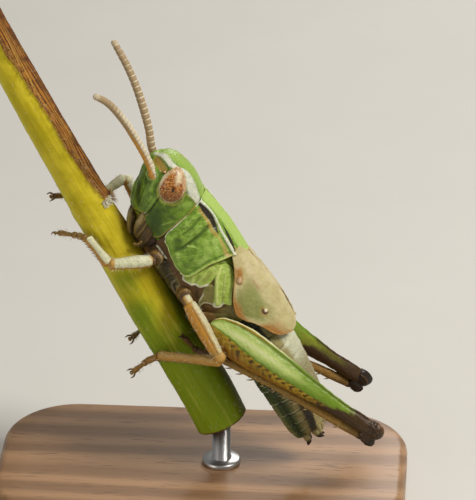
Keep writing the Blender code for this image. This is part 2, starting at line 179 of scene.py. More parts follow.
def ringProfile(points, cols):
    # a smooth closed outline through a few points
    p = np.asarray(points, float)
    ring = smooth(np.concatenate([p[-2:], p, p[:3]]), (len(p) + 4) * 60 + 1)[120:120 + len(p) * 60 + 1]
    run = np.concatenate([[0], np.cumsum(np.linalg.norm(np.diff(ring, axis=0), axis=1))])
    at = np.arange(cols) / cols * run[-1]
    return np.stack([np.interp(at, run, ring[:, k]) for k in range(2)], -1)


def depthIn(grid, outline):
    # how far inside a closed outline in the x, z plane each point lies, negative outside:
    # the distance from the outline, its sign from the number of sides crossed on the way out
    ring = ringProfile(outline, 140)
    far = np.roll(ring, -1, 0)
    x, z = grid[..., 0].reshape(-1, 1), grid[..., 2].reshape(-1, 1)
    cross = (ring[:, 1] > z) != (far[:, 1] > z)
    climb = far[:, 1] - ring[:, 1]
    slope = (far[:, 0] - ring[:, 0]) / np.where(np.abs(climb) < 1e-9, 1e-9, climb)
    odd = (cross & (x < ring[:, 0] + slope * (z - ring[:, 1]))).sum(1) % 2
    curve = np.insert(np.concatenate([ring, ring[:1]]), 1, 0, axis=1)
    gap, _ = fromCurve(grid * (1, 0, 1), curve)
    return gap * (2 * odd.reshape(gap.shape) - 1)


# Bodies: closed lumps of triangles with their paint, joined into one mesh for each piece

def body(points, faces, paint=None, patch=None):
    # a closed body, turned so that its volume is positive
    a, b, c = (points[faces[:, k]] for k in range(3))
    if (a * np.cross(b, c)).sum() < 0:
        faces = faces[:, ::-1]
    made = {name: np.zeros(len(points)) for name in paintNames}
    for name, values in (paint or {}).items():
        made[name] = np.broadcast_to(values, len(points))
    return dict(points=points, faces=faces, paint=made, patch=patch)


def quads(a, b, c, d):
    # two triangles for each set of four corners
    return np.concatenate([np.stack([a, b, c], -1).reshape(-1, 3), np.stack([a, c, d], -1).reshape(-1, 3)])


def loft(grid, paint=None):
    # rows of rings, each closed on itself, with a fan to a middle point at either end
    rows, cols = grid.shape[:2]
    index = np.arange(rows * cols).reshape(rows, cols)
    turned = np.roll(index, -1, 1)
    faces = [quads(index[:-1], turned[:-1], turned[1:], index[1:])]
    first, last = rows * cols, rows * cols + 1
    faces.append(np.stack([turned[0], index[0], np.full(cols, first)], -1))
    faces.append(np.stack([index[-1], turned[-1], np.full(cols, last)], -1))
    points = np.concatenate([grid.reshape(-1, 3), [grid[0].mean(0), grid[-1].mean(0)]])
    paint = {name: np.clip(values, 0, 1) for name, values in (paint or {}).items()}
    laid = {name: np.concatenate([v.ravel(), [v[0].mean(), v[-1].mean()]]) for name, v in paint.items()}
    return body(points, np.concatenate(faces), laid)


def shell(outer, inner, paint):
    # two open sheets of the same grid, joined all round their edges
    rows, cols = outer.shape[:2]
    top = np.arange(rows * cols).reshape(rows, cols)
    under = top + rows * cols
    faces = [quads(top[:-1, :-1], top[:-1, 1:], top[1:, 1:], top[1:, :-1]),
             quads(under[:-1, :-1], under[1:, :-1], under[1:, 1:], under[:-1, 1:])]
    rim = np.concatenate([top[0, :-1], top[:-1, -1], top[-1, :0:-1], top[:0:-1, 0]])
    ahead = np.roll(rim, -1)
    size = rows * cols
    faces.append(quads(ahead, rim, rim + size, ahead + size))
    points = np.concatenate([outer.reshape(-1, 3), inner.reshape(-1, 3)])
    laid = {name: np.tile(np.clip(values, 0, 1).ravel(), 2) for name, values in paint.items()}
    return body(points, np.concatenate(faces), laid)


def spikes(roots, aims, lengths, radius, curl=(0, 0, 0), sides=3, steps=3, patch=None, **paint):
    # tapering cones: ring k of one lies at root + aim * length * s + curl * length * s ** 2, s = k / steps
    roots, aims = np.asarray(roots, float), unit(np.asarray(aims, float))
    n = len(roots)
    lengths = np.broadcast_to(lengths, n)[:, None, None]
    radius = np.broadcast_to(radius, n)[:, None, None, None]
    helper = np.where(np.abs(aims[:, 2:]) < 0.8, [[0, 0, 1.0]], [[1.0, 0, 0]])
    across = unit(np.cross(aims, helper))
    other = np.cross(aims, across)
    s = (np.arange(steps) / steps)[None, :, None]
    curl = np.broadcast_to(curl, (n, 3))[:, None]
    spine = roots[:, None] + aims[:, None] * lengths * s + curl * lengths * s**2
    turn = turns(sides)
    ring = np.cos(turn)[:, None] * across[:, None, None] + np.sin(turn)[:, None] * other[:, None, None]
    points = spine[:, :, None] + ring * radius * (1 - s[..., None] ** 1.5)
    tip = roots + aims * lengths[:, 0] + curl[:, 0] * lengths[:, 0]
    points = np.concatenate([points.reshape(n, -1, 3), tip[:, None]], 1)
    each = steps * sides + 1
    index = np.arange(steps * sides).reshape(steps, sides)
    turned = np.roll(index, -1, 1)
    faces = [quads(index[:-1], index[1:], turned[1:], turned[:-1]),
             np.stack([index[-1], np.full(sides, each - 1), turned[-1]], -1)]
    fan = np.arange(1, sides - 1)
    faces.append(np.stack([np.zeros(len(fan), int), fan, fan + 1], -1))
    faces = np.concatenate(faces)
    faces = (faces[None] + (np.arange(n) * each)[:, None, None]).reshape(-1, 3)
    along = np.append(np.repeat(np.arange(steps) / steps, sides), 1.0)
    laid = {k: np.tile(read(v, along), n) if np.ndim(v) else v for k, v in paint.items()}
    if patch is not None:
        tile = np.stack([along, np.append(np.tile(np.arange(sides) / sides, steps), 0)], -1) * 0.003
        patch = (patch[:, None] + tile).reshape(-1, 2)
    return body(points.reshape(-1, 3), faces, laid, patch)


def sweep(path, heights, widths, rows, cols, up, profile=None, caps=(0.0, 0.0)):
    # rings carried along a curve: height along up, width to the side, each a table from start to end;
    # profile is a closed curve of (side, up) points, a circle by default; a cap of a length rounds that end
    path = np.asarray(path, float)
    s = (1 - np.cos(np.linspace(0, math.pi, rows))) / 2 * 0.6 + np.linspace(0, 1, rows) * 0.4
    fine = smooth(path, 400)
    run = np.concatenate([[0], np.cumsum(np.linalg.norm(np.diff(fine, axis=0), axis=1))])
    centre = np.stack([np.interp(s * run[-1], run, fine[:, k]) for k in range(3)], -1)
    ahead = unit(np.gradient(centre, axis=0))
    side = unit(np.cross(up, ahead))
    rise = np.cross(ahead, side)
    reach = s * run[-1]
    size = np.ones(rows)
    for cap, far in zip(caps, (reach, run[-1] - reach)):
        if cap:
            size *= np.sqrt(np.clip(1 - (1 - np.clip(far / cap, 0.004, 1)) ** 2, 0, 1))
    turn = turns(cols)
    if profile is None:
        profile = np.stack([np.cos(turn), np.sin(turn)], -1)
    w = (read(widths, s) * size)[:, None, None]
    h = (read(heights, s) * size)[:, None, None]
    wide, high = profile[None, :, :1], profile[None, :, 1:]
    grid = centre[:, None] + side[:, None] * w * wide + rise[:, None] * h * high
    own = dict(share=s[:, None], mm=reach[:, None], side=profile[:, 0], up=profile[:, 1])
    return grid, SimpleNamespace(**{name: np.broadcast_to(v, (rows, cols)) for name, v in own.items()})


def piece(name, bodies, finish, nodes=(), inBody=True):
    # joins bodies into one object that rides on the model and stands for its CAD nodes
    offsets = np.cumsum([0] + [len(b["points"]) for b in bodies[:-1]])
    points = np.concatenate([b["points"] for b in bodies])
    faces = np.concatenate([b["faces"] + o for b, o in zip(bodies, offsets)])
    if inBody:
        points = toWorld(points)
    mesh = bpy.data.meshes.new(name)
    mesh.vertices.add(len(points))
    mesh.vertices.foreach_set("co", points.astype(np.float32).ravel())
    mesh.loops.add(faces.size)
    mesh.loops.foreach_set("vertex_index", faces.astype(np.int32).ravel())
    mesh.polygons.add(len(faces))
    mesh.polygons.foreach_set("loop_start", np.arange(len(faces), dtype=np.int32) * 3)
    for paintName in paintNames:
        layer = mesh.attributes.new(paintName, "FLOAT", "POINT")
        values = np.concatenate([b["paint"][paintName] for b in bodies])
        layer.data.foreach_set("value", values.astype(np.float32))
    if bodies[0]["patch"] is not None:
        patch = np.concatenate([b["patch"] for b in bodies])
        layer = mesh.uv_layers.new(name="OFBake")
        layer.data.foreach_set("uv", patch[faces.ravel()].astype(np.float32).ravel())
    mesh.update(calc_edges=True)
    mesh.validate()
    mesh.shade_smooth()
    mesh.materials.append(finish)
    made = bpy.data.objects.new(name, mesh)
    bpy.context.scene.collection.objects.link(made)
    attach(made, "root")
    if nodes:
        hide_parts(*nodes)
    return made


# Finishes

class Wire:
    # a shader socket, or several nodes' worth of sums on it: Python's own operators add Math nodes
    def __init__(self, tree, socket=None):
        self.tree = tree
        self.socket = socket

    def node(self, kind, settings=None, inputs=None, out=0):
        made = self.tree.nodes.new("ShaderNode" + kind)
        for name, value in (settings or {}).items():
            setattr(made, name, value)
        for name, value in (inputs or {}).items():
            if isinstance(value, Wire):
                self.tree.links.new(value.socket, made.inputs[name])
            elif made.inputs[name].type == "RGBA":
                made.inputs[name].default_value = (*value, 1)
            else:
                made.inputs[name].default_value = value
        return Wire(self.tree, made.outputs[out])

    def maths(self, operation, *values):
        return self.node("Math", dict(operation=operation), dict(enumerate(values)))

    def __add__(self, other):
        return self.maths("ADD", self, other)

    def __sub__(self, other):
        return self.maths("SUBTRACT", self, other)

    def __rsub__(self, other):
        return self.maths("SUBTRACT", other, self)

    def __mul__(self, other):
        return self.maths("MULTIPLY", self, other)

    __radd__ = __add__
    __rmul__ = __mul__

    def over(self, low, high):
        # 0 below low, 1 above high, smooth between
        return self.node("MapRange", dict(interpolation_type="SMOOTHSTEP"),
                         {"Value": self, "From Min": low, "From Max": high})

    def blend(self, a, b):
        # colour a where this is 0, colour b where it is 1
        return self.node("Mix", dict(data_type="RGBA"), {"Factor": self, "A": a, "B": b}, 2)

    def noise(self, size, detail=3.0, rough=0.55, stretch=(1, 1, 1), place=None):
        # lumps of about size mm on the piece's own coordinates
        return self.node("TexNoise", None, {"Vector": place or self.place(stretch), "Scale": 1 / (size * mm),
                                            "Detail": detail, "Roughness": rough})

    def cells(self, size, feature="F1", stretch=(1, 1, 1)):
        return self.node("TexVoronoi", dict(feature=feature),
                         {"Vector": self.place(stretch), "Scale": 1 / (size * mm)})

    def mapped(self, stretch, turn=(0, 0, 0), kind="POINT"):
        return self.node("Mapping", dict(vector_type=kind),
                         {"Vector": self.place(), "Rotation": turn, "Scale": stretch})

    def place(self, stretch=(1, 1, 1)):
        # the piece's own coordinates, in a stretch along the body's axes
        if tuple(stretch) != (1, 1, 1):
            return self.mapped(stretch, (0, math.radians(pose["pitch"]), 0))
        return self.node("TexCoord", None, None, 3)

    def paint(self, name):
        return self.node("Attribute", dict(attribute_type="GEOMETRY", attribute_name=name), None, 2)

    def marks(self, colour, ragged, low, high, **tones):
        # lays each paint's tone over a colour, its edge made uneven by ragged
        for name, tone in tones.items():
            laid = self.paint(name)
            colour = (laid + ragged * laid).over(low, high).blend(colour, tone)
        return colour


def finish(name, make, **fixed):
    # a new material: make lays colour, roughness and bump, fixed sets plain values on the shader's sockets
    made = bpy.data.materials.new(name)
    made.use_nodes = True
    tree = made.node_tree
    shader = tree.nodes["Principled BSDF"]
    colour, roughness, relief = make(Wire(tree))
    tree.links.new(colour.socket, shader.inputs["Base Color"])
    if isinstance(roughness, Wire):
        tree.links.new(roughness.socket, shader.inputs["Roughness"])
    else:
        shader.inputs["Roughness"].default_value = roughness
    for wire, distance in relief:
        bump = tree.nodes.new("ShaderNodeBump")
        bump.inputs["Distance"].default_value = distance * mm
        bump.inputs["Strength"].default_value = 1
        tree.links.new(wire.socket, bump.inputs["Height"])
        if shader.inputs["Normal"].links:
            tree.links.new(shader.inputs["Normal"].links[0].from_socket, bump.inputs["Normal"])
        tree.links.new(bump.outputs[0], shader.inputs["Normal"])
    for socket, value in fixed.items():
        shader.inputs[socket.replace("_", " ")].default_value = value
    return made


skinDepth = dict(Subsurface_Weight=0.12, Subsurface_Radius=(0.9, 0.7, 0.3), Subsurface_Scale=0.0003,
                 Specular_IOR_Level=0.35)


def cuticle(name, base, mottle, pale, dark, warm, tint, deep=(0.05, 0.1, 0.01), size=0.35, amount=0.6,
            gloss=0.38, bump=0.012):
    # insect skin: a mottled ground, then the painted marks with ragged edges, pits and fine wrinkles;
    # the colours are the ground's, its mottle's and one for each paint
    def make(w):
        soft = w.noise(size, 4, 0.6)
        fine = w.noise(size * 0.22, 2)
        tiny = w.noise(0.055, 2, 0.6)
        ragged = (fine - 0.5) * 0.6 + (soft - 0.5) * 0.45 + (tiny - 0.5) * 0.35
        colour = (soft.over(0.36, 0.66) * amount + fine.over(0.45, 0.75) * 0.25).blend(base, mottle)
        colour = (tiny.over(0.6, 0.72) * 0.3).blend(colour, mottle)
        colour = (tiny.over(0.42, 0.3) * 0.35).blend(colour, tuple(0.45 * c for c in base))
        chalk = (w.noise(0.1, 3, 0.65).over(0.48, 0.64) * 0.55).blend(pale, tuple(0.55 * c for c in pale))
        colour = w.marks(colour, ragged, 0.05, 0.95, deep=deep, tint=tint)
        colour = w.marks(colour, ragged, 0.12, 0.9, warm=warm)
        colour = w.marks(colour, ragged, 0.15, 0.8, dark=dark, pale=chalk)
        rough = fine * 0.25 + (gloss - 0.1)
        return colour, rough, [(soft, bump * 2.5), (w.cells(0.11, "SMOOTH_F1"), bump * 1.3),
                               (tiny, bump * 0.6)]
    return finish(name, make, **skinDepth)


bothSides = ((1, "L"), (-1, "R"))
print("helpers ready")


# Head

head = dict(
    # middle x and z, lean in degrees, half width and half height of each ring, from the neck to the face
    rings=((4.0, -1.78, 9, 0.95, 1.3), (3.66, -1.8, 9, 1.1, 1.58), (3.6, -1.81, 9, 1.3, 1.84),
           (3.76, -1.81, 9, 1.38, 1.96), (4.12, -1.78, 10, 1.42, 2.05), (4.62, -1.7, 13, 1.44, 2.12),
           (5.2, -1.69, 18, 1.44, 2.14), (5.75, -1.74, 23, 1.34, 2.09), (6.15, -1.87, 27, 1.13, 1.87),
           (6.44, -1.99, 29, 0.86, 1.53), (6.61, -2.07, 30, 0.54, 1.08), (6.68, -2.1, 30, 0.22, 0.52)),
    squareness=2.45, rows=230, cols=210)
eye = dict(centre=(5.5, 1.0, -0.75), longHalf=1.05, acrossHalf=0.8, outHalf=0.52, lean=0.26, tilt=50.0,
           egg=0.24)
headMarks = [
    # fastigium, the facial ridge with its furrow, and the lateral carina
    mark([(7.0, 0, -0.75), (6.95, 0, -1.3), (6.6, 0, -2.1), (6.2, 0, -2.85), (5.7, 0, -3.35)], 0.25, 0.09, 4,
         tint=0.75),
    mark([(6.98, 0, -1.15), (6.6, 0, -2.1), (6.2, 0, -2.85)], 0.09, -0.06, dark=0.25),
    mark([(6.28, 1.02, -1.72), (5.9, 1.08, -2.25), (5.45, 1.0, -2.95)], 0.09, 0.04, tint=0.35),
    mark([(6.61, 0.8, -2.32), (6.06, 0.8, -2.55), (5.6, 0.85, -2.66)], 0.27, -0.02, deep=0.9),
    mark([(6.5, 0.8, -1.6), (6.3, 0.85, -1.75)], 0.14, -0.02, deep=0.7),
    mark([(5.98, 1.05, -1.7), (6.22, 1.0, -1.3)], 0.13, 0.025, tint=0.65),
    mark([(5.72, 1.3, -1.9), (5.6, 1.3, -2.2)], 0.09, 0.02, tint=0.4),
    # the chalky band over the foveola, pinched above the eye and broad behind it
    mark([(6.8, 0, -0.15), (6.2, 0, 0.25), (5.4, 0, 0.42), (4.6, 0, 0.4), (4.0, 0, 0.3)], 0.8, 0.0, 6,
         tint=0.85),
    mark([(7.05, 0.18, -0.66), (6.86, 0.46, -0.28), (6.42, 0.84, -0.09), (6.08, 0.86, 0.08),
          (5.52, 0.76, 0.22), (5.0, 0.84, 0.02), (4.66, 0.88, -0.09), (4.17, 0.92, -0.15), (3.8, 0.95, -0.2)],
          (0.1, 0.2, 0.17, 0.1, 0.21, 0.36, 0.37, 0.26, 0.17), 0.015, 3, pale=0.84),
    # foveola: a sunk yellow-olive field with a brown outline
    mark([(6.9, 0.5, -0.68), (6.5, 0.96, -0.54)], 0.22, -0.07, 6, warm=1.0),
    mark([(6.98, 0.46, -0.46), (6.8, 0.72, -0.32), (6.5, 0.95, -0.27), (6.28, 1.08, -0.42),
          (6.34, 1.08, -0.66)], 0.032, -0.02, dark=0.7),
    mark([(6.36, 1.09, -0.56), (6.38, 1.08, -0.55)], 0.12, 0.03, 4, dark=0.35, warm=0.6),
    # subocular furrow and the suture above the mouthparts
    mark([(5.46, 1.42, -1.62), (5.29, 1.42, -2.02), (5.12, 1.34, -2.56), (5.06, 1.2, -2.9)], 0.04, -0.07,
         dark=0.6, deep=1.0),
    mark([(5.6, 1.4, -1.7), (5.42, 1.38, -2.1), (5.24, 1.28, -2.6)], 0.06, 0.02, tint=0.45),
    mark([(5.12, 1.25, -2.84), (5.36, 0.96, -3.18), (5.5, 0.5, -3.48), (5.55, 0, -3.56)], 0.045, -0.06,
         dark=0.8),
    mark([(5.2, 1.22, -2.74), (5.44, 0.92, -3.08), (5.62, 0.45, -3.36)], 0.05, 0.03, warm=0.8, tint=0.3),
    mark([(5.15, 1.26, -2.74), (5.16, 1.26, -2.73)], 0.04, 0.02, pale=1.0),
    # below the suture the skin is brown
    mark([(5.32, 0.7, -3.56), (5.14, 0.9, -3.36), (4.8, 1.0, -3.5)], 0.15, -0.03, 4, warm=0.9, dark=0.5),
    # cheek: a plate with a yellowish rim, dark low down, light behind the eye
    mark([(4.9, 1.38, -2.1), (4.5, 1.35, -2.6), (4.15, 1.3, -2.9)], 0.6, 0, deep=0.72),
    mark([(4.75, 1.38, -1.55), (4.3, 1.38, -1.7)], 0.3, 0, deep=0.5),
    mark([(4.55, 1.36, -0.95), (4.15, 1.25, -0.55)], 0.24, 0.02, tint=0.55),
    mark([(3.92, 1.05, -0.44), (3.84, 1.3, -0.93), (3.78, 1.38, -1.69), (3.72, 1.38, -2.27),
          (3.66, 1.16, -2.98), (3.92, 1.0, -3.42), (4.32, 1.04, -3.35), (4.9, 1.22, -2.94),
          (5.04, 1.27, -2.72)], 0.042, 0.05, warm=0.85),
    # painted shadow: a dark line in the gap behind the cheek's hind rim, under the pronotum's front edge
    mark([(3.74, 1.05, -0.4), (3.66, 1.3, -0.95), (3.6, 1.38, -1.69), (3.52, 1.36, -2.3), (3.48, 1.1, -3.05)],
         0.09, -0.03, 5, dark=1.0),
    mark([(4.8, 1.17, -0.3), (4.46, 1.12, -0.15), (4.12, 1.1, -0.1), (3.84, 1.15, -0.3)], 0.045, -0.03,
         dark=0.95),
    mark([(4.76, 1.22, -0.41), (4.46, 1.18, -0.28), (4.14, 1.17, -0.24), (3.93, 1.21, -0.44),
          (3.84, 1.3, -0.93)], 0.045, 0.04, warm=0.75, tint=0.4, pale=0.12),
    mark([(4.16, 1.39, -2.39), (4.02, 1.4, -1.9)], 0.035, 0.02, tint=0.9),
]


def headGrid():
    # superellipses |y / w| ** n + |up / h| ** n = 1 in planes that lean forward more and more
    x, z, lean, w, h = columns(head["rings"], head["rows"])
    turn = turns(head["cols"])
    across = squared(np.cos(turn), head["squareness"]) * w
    rise = squared(np.sin(turn), head["squareness"]) * h
    lean = np.radians(lean)
    return np.stack([x + rise * np.sin(lean), across, z + rise * np.cos(lean)], -1)


def eyeAxes():
    tilt = math.radians(eye["tilt"])
    return np.array([math.cos(tilt), 0, math.sin(tilt)]), np.array([-math.sin(tilt), 0, math.cos(tilt)])


def eyeRing(scale, count=40):
    # the outline of the eye in its own plane, an egg with its blunt end down
    axis, across = eyeAxes()
    t = np.linspace(0, 2 * math.pi, count)[:, None]
    wide = eye["acrossHalf"] * (1 + eye["egg"] * np.cos(t))
    ring = axis * -np.cos(t) * eye["longHalf"] + across * np.sin(t) * wide
    return np.array(eye["centre"]) + scale * ring + (0, 0.35, 0)


def circle(centre, axis, radius, count=24):
    axis = unit(np.asarray(axis, float))
    side = unit(np.cross(axis, (0.0, 0.0, 1.0)))
    t = np.linspace(0, 2 * math.pi, count)[:, None]
    return np.asarray(centre) + radius * (np.cos(t) * side + np.sin(t) * np.cross(axis, side))


def snapped(marks, grid):
    # puts every point of each mark's path on the nearest point of the surface
    flat = grid.reshape(-1, 3)
    for m in marks:
        path = np.asarray(m["path"], float)
        gap = ((path[:, None] - flat) ** 2).sum(-1)
        m["path"] = flat[gap.argmin(1)]
    return marks


def makeHead():
    grid = headGrid()
    rimMarks = [
        mark(eyeRing(0.86), 0.08, 0.05, warm=0.55, pale=0.25),
        mark(eyeRing(1.04), 0.06, -0.03, deep=0.35),
        mark(circle((6.52, 0.9, -1.22), (1.0, 0.55, 0.45), 0.31), 0.08, 0.06, pale=0.3, tint=0.5),
    ]
    grid, paint = sculpt(grid, snapped(headMarks + rimMarks, grid))
    lumps = 0.01 * ripple(grid, 0.45, 3) + 0.005 * ripple(grid, 0.16, 4)
    grid = grid + normals(grid, True) * lumps[..., None]
    # sockets that the eyes sit in
    axis, across = eyeAxes()
    off = grid * (1, 0, 1) - np.array(eye["centre"]) * (1, 0, 1)
    inside = ((off @ axis) / eye["longHalf"]) ** 2 + ((off @ across) / eye["acrossHalf"]) ** 2
    sink = step(0.8, 0.5, inside) * (np.abs(grid[..., 1]) > 0.5) * 0.25
    grid = grid - np.sign(grid[..., 1:2]) * sink[..., None] * (0, 1, 0)
    skin = cuticle("headCuticle", (0.066, 0.13, 0.006), (0.165, 0.28, 0.022), (0.58, 0.59, 0.48),
                   (0.03, 0.022, 0.006), (0.3, 0.2, 0.035), (0.275, 0.405, 0.07), (0.026, 0.056, 0.003),
                   size=0.4, amount=1.0, gloss=0.3, bump=0.016)
    piece("headCapsule", [loft(grid, paint)], skin, ["head"])


def makeEyes():
    # rings along the long axis: t runs from the blunt end to the narrow end, each ring an ellipse of
    # half width * sin t * (1 + egg * cos t), deeper outwards than inwards
    axis, across = eyeAxes()
    t = np.linspace(0.02, math.pi - 0.02, 70)[:, None, None]
    turn = turns(80)[None, :, None]
    wide = eye["acrossHalf"] * np.sin(t) * (1 + eye["egg"] * np.cos(t))
    out = eye["outHalf"] * np.sin(t) ** 0.8
    inward = eye["lean"] * np.clip(-np.cos(t), 0, 1) ** 1.5
    grid = (np.array(eye["centre"]) + axis * -np.cos(t) * eye["longHalf"] + across * np.cos(turn) * wide
            + np.array([0, 1.0, 0]) * (np.sin(turn) * out - inward))
    along, sideways = -np.cos(t) + 0 * turn, np.sin(t) * np.cos(turn)
    # upper: a painted highlight, a soft streak over the upper part of the eye
    upper = np.exp(-((sideways - 0.32 - 0.1 * along) / 0.4) ** 2 - ((along - 0.6) / 0.45) ** 2)[..., 0]
    edge = ((1 - step(0.6, 0.82, np.sin(turn) * np.sin(t)))
            * (0.55 + 0.45 * step(0.4, -0.5, sideways + along)))[..., 0]
    low = step(0.2, -0.8, (-np.cos(t) - 0.3 * np.cos(turn))[..., 0])

    def look(w):
        mottle = w.noise(0.13, 4, 0.7)
        specks = w.noise(0.075, 2, 0.7).over(0.54, 0.62)
        colour = mottle.over(0.38, 0.62).blend((0.17, 0.04, 0.003), (0.46, 0.15, 0.013))
        colour = (specks * 0.85).blend(colour, (0.78, 0.5, 0.19))
        colour = (w.paint("deep") * 0.7).blend(colour, (0.13, 0.042, 0.005))
        # the painted highlight and the pale rim, both laid from the pale paint
        highlightAndRim = (w.paint("pale") + (mottle - 0.5) * 0.9 * w.paint("pale")).over(0.25, 0.95)
        colour = highlightAndRim.blend(colour, (0.66, 0.56, 0.36))
        colour = (w.paint("dark") + (mottle - 0.5) * 0.3).over(0.4, 0.6).blend(colour, (0.04, 0.012, 0.004))
        return colour, mottle * 0.3 + 0.2, [(w.cells(0.03), 0.003), (mottle, 0.006)]

    facets = finish("eyeFacets", look, Coat_Weight=0.18, Coat_Roughness=0.12, Specular_IOR_Level=0.35)
    for side, tag in bothSides:
        own = grid * (1, side, 1)
        spot, _ = fromCurve(own, np.array([(5.38, 1.51 * side, -0.76), (5.5, 1.51 * side, -0.62)]))
        paint = dict(pale=np.maximum(upper * 0.85, edge), dark=hill(spot, 0.075), deep=low)
        piece("compoundEye" + tag, [loft(own, paint)], facets, ["eye_" + tag])
    # three simple eyes: one by each foveola and one in the facial furrow
    beads = []
    for x, y, z, radius in ((6.38, 1.1, -0.55, 0.085), (6.38, -1.1, -0.55, 0.085), (6.9, 0, -1.62, 0.09)):
        t = np.linspace(0.05, 3.09, 14)[:, None]
        turn = turns(20)
        ball = np.stack([np.sin(t) * np.cos(turn), np.sin(t) * np.sin(turn), -np.cos(t) + 0 * turn], -1)
        beads.append(loft(ball * radius + (x, y, z), dict(warm=np.ones(ball.shape[:2]))))
    amber = finish("simpleEyes",
                   lambda w: (w.noise(0.08, 2).over(0.4, 0.6).blend((0.25, 0.1, 0.02), (0.45, 0.25, 0.08)),
                              0.12, []), Coat_Weight=0.8)
    piece("simpleEyes", beads, amber)


# Feelers: 24 segments, each a little barrel with a pale ring at its end

feelers = dict(
    L=((6.28, 0.88, -1.22), (6.64, 0.84, -1.14), (7.26, 0.78, -0.99), (8.36, 1.0, -0.72), (9.91, 1.5, -0.38),
       (11.32, 2.0, -0.26), (12.26, 2.41, -0.47)),
    R=((6.28, -0.88, -1.22), (6.74, -0.82, -1.08), (7.39, -0.72, -0.85), (8.39, -0.85, -0.32),
       (10.12, -1.2, 0.3), (11.5, -1.55, 0.6), (12.93, -2.0, 0.72)),
    segments=24, heights=(0.22, 0.215, 0.21, 0.215, 0.21, 0.2, 0.19, 0.16),
    widths=(0.25, 0.24, 0.235, 0.23, 0.225, 0.21, 0.2, 0.165))


def makeFeelers():
    def look(w):
        grain = w.noise(0.15, 3)
        warmth = (w.paint("warm") + (grain - 0.5) * 0.5).over(0.2, 0.8)
        colour = warmth.blend((0.33, 0.235, 0.125), (0.54, 0.26, 0.04))
        colour = (w.paint("pale") + (grain - 0.5) * 0.5).over(0.25, 0.85).blend(colour, (0.66, 0.6, 0.45))
        colour = (w.paint("dark") + (grain - 0.5) * 0.3).over(0.3, 0.9).blend(colour, (0.15, 0.075, 0.03))
        return colour, 0.42 + grain * 0.2, [(w.cells(0.06), 0.006)]

    horn = finish("feelerHorn", look, **skinDepth)
    for tag in "LR":
        grid, at = sweep(feelers[tag], feelers["heights"], feelers["widths"], 420, 28, (0, 0, 1),
                         caps=(0.05, 0.16))
        # the first two segments, scape and pedicel, are stouter; the others swell in the middle
        turnCount = at.share * feelers["segments"]
        within = turnCount % 1
        waist = 1 - 0.09 * hill(np.minimum(within, 1 - within), 0.1)
        stout = 1 + 0.3 * step(0.075, 0.045, at.share) + 0.1 * step(0.11, 0.09, at.share)
        centre = grid.mean(1, keepdims=True)
        grid = centre + (grid - centre) * (waist * stout)[..., None]
        ring = hill(within - 0.92, 0.09) * step(0.05, 0.12, at.share)
        lit = step(-0.15, 0.55, at.up)
        near = tag == "L"
        paint = dict(
            pale=ring * (0.2 if near else 0.55) + lit * (0.6 if near else 0.3) * step(1.0, 0.6, at.share)
                + 0.5 * step(0.93, 0.97, at.share),
            warm=step(0.9, 0.1, at.share) * step(0.55, -0.3, at.up) * (1.0 if near else 0.45),
            dark=(0.2 if near else 0.4) * hill(within, 0.06) * (at.share > 0.08)
                + 0.6 * hill(at.share - 0.035, 0.012) * step(0.2, -0.6, at.up))
        piece("feeler" + tag, [loft(grid, paint)], horn, ["antenna_" + tag])


makeHead()
makeEyes()
makeFeelers()
print("head, eyes and feelers made")


def limb(path, heights, widths=None, rows=60, cols=36, up=(0, 0, 1), caps=(0.15, 0.15), lumps=0.01, lay=None,
         marks=None, seed=1):
    # a swept rod with rounded ends and soft lumps, round where no widths are given;
    # lay turns its own coordinates into paint
    grid, at = sweep(path, heights, heights if widths is None else widths, rows, cols, up, None, caps)
    paint = lay(at) if lay else {}
    if marks:
        grid, laid = sculpt(grid, snapped(marks, grid))
        paint = {name: np.maximum(laid[name], paint.get(name, 0)) for name in paintNames}
    grid = (grid + normals(grid, True)
            * (lumps * (ripple(grid, 0.35, seed) + 0.5 * ripple(grid, 0.14, seed + 1)))[..., None])
    paint = {name: np.broadcast_to(values, grid.shape[:2]) for name, values in paint.items()}
    return loft(grid, paint)


def sided(side, *points):
    return [(x, y * side, z) for x, y, z in points]


# Mouthparts

mouth = dict(
    # path, half heights, half widths and the lengths of the rounded ends, the left one of each pair
    lip=([(5.4, 0, -3.36), (5.2, 0, -3.62), (4.94, 0, -3.92), (4.6, 0, -4.2), (4.24, 0, -4.42)],
         (0.22, 0.28, 0.28, 0.25, 0.2), (0.92, 0.94, 0.9, 0.8, 0.54), (0.2, 0.3)),
    jaw=([(5.16, 0.72, -2.55), (4.88, 1.0, -3.06), (4.62, 1.05, -3.5), (4.36, 0.9, -3.88),
          (4.1, 0.62, -4.22)],
         (0.32, 0.35, 0.33, 0.27, 0.16), (0.2, 0.24, 0.24, 0.2, 0.12), (0.25, 0.2)),
    lobe=([(4.46, 0.78, -2.8), (4.18, 1.04, -3.28), (3.98, 1.06, -3.7), (3.8, 0.86, -4.08),
           (3.72, 0.6, -4.3)],
          (0.24, 0.31, 0.31, 0.24, 0.14), (0.16, 0.22, 0.22, 0.17, 0.12), (0.2, 0.2)),
    hindLobe=([(3.8, 0.86, -3.1), (3.62, 0.92, -3.6), (3.52, 0.76, -4.06)],
              (0.24, 0.3, 0.18), (0.2, 0.22, 0.14), (0.2, 0.2)),
    palps=(((3.96, 1.16, -3.86), (3.92, 1.24, -4.12), (4.06, 1.12, -4.38)),
           ((3.7, 0.76, -4.1), (3.7, 0.86, -4.3), (3.86, 0.82, -4.48))))


def mouthPart(name, lay, side=1, up=(1, 0, 0.45), seed=1):
    path, heights, widths, caps = mouth[name]
    return limb(sided(side, *path), heights, widths, up=up, caps=caps, lay=lay, seed=seed)


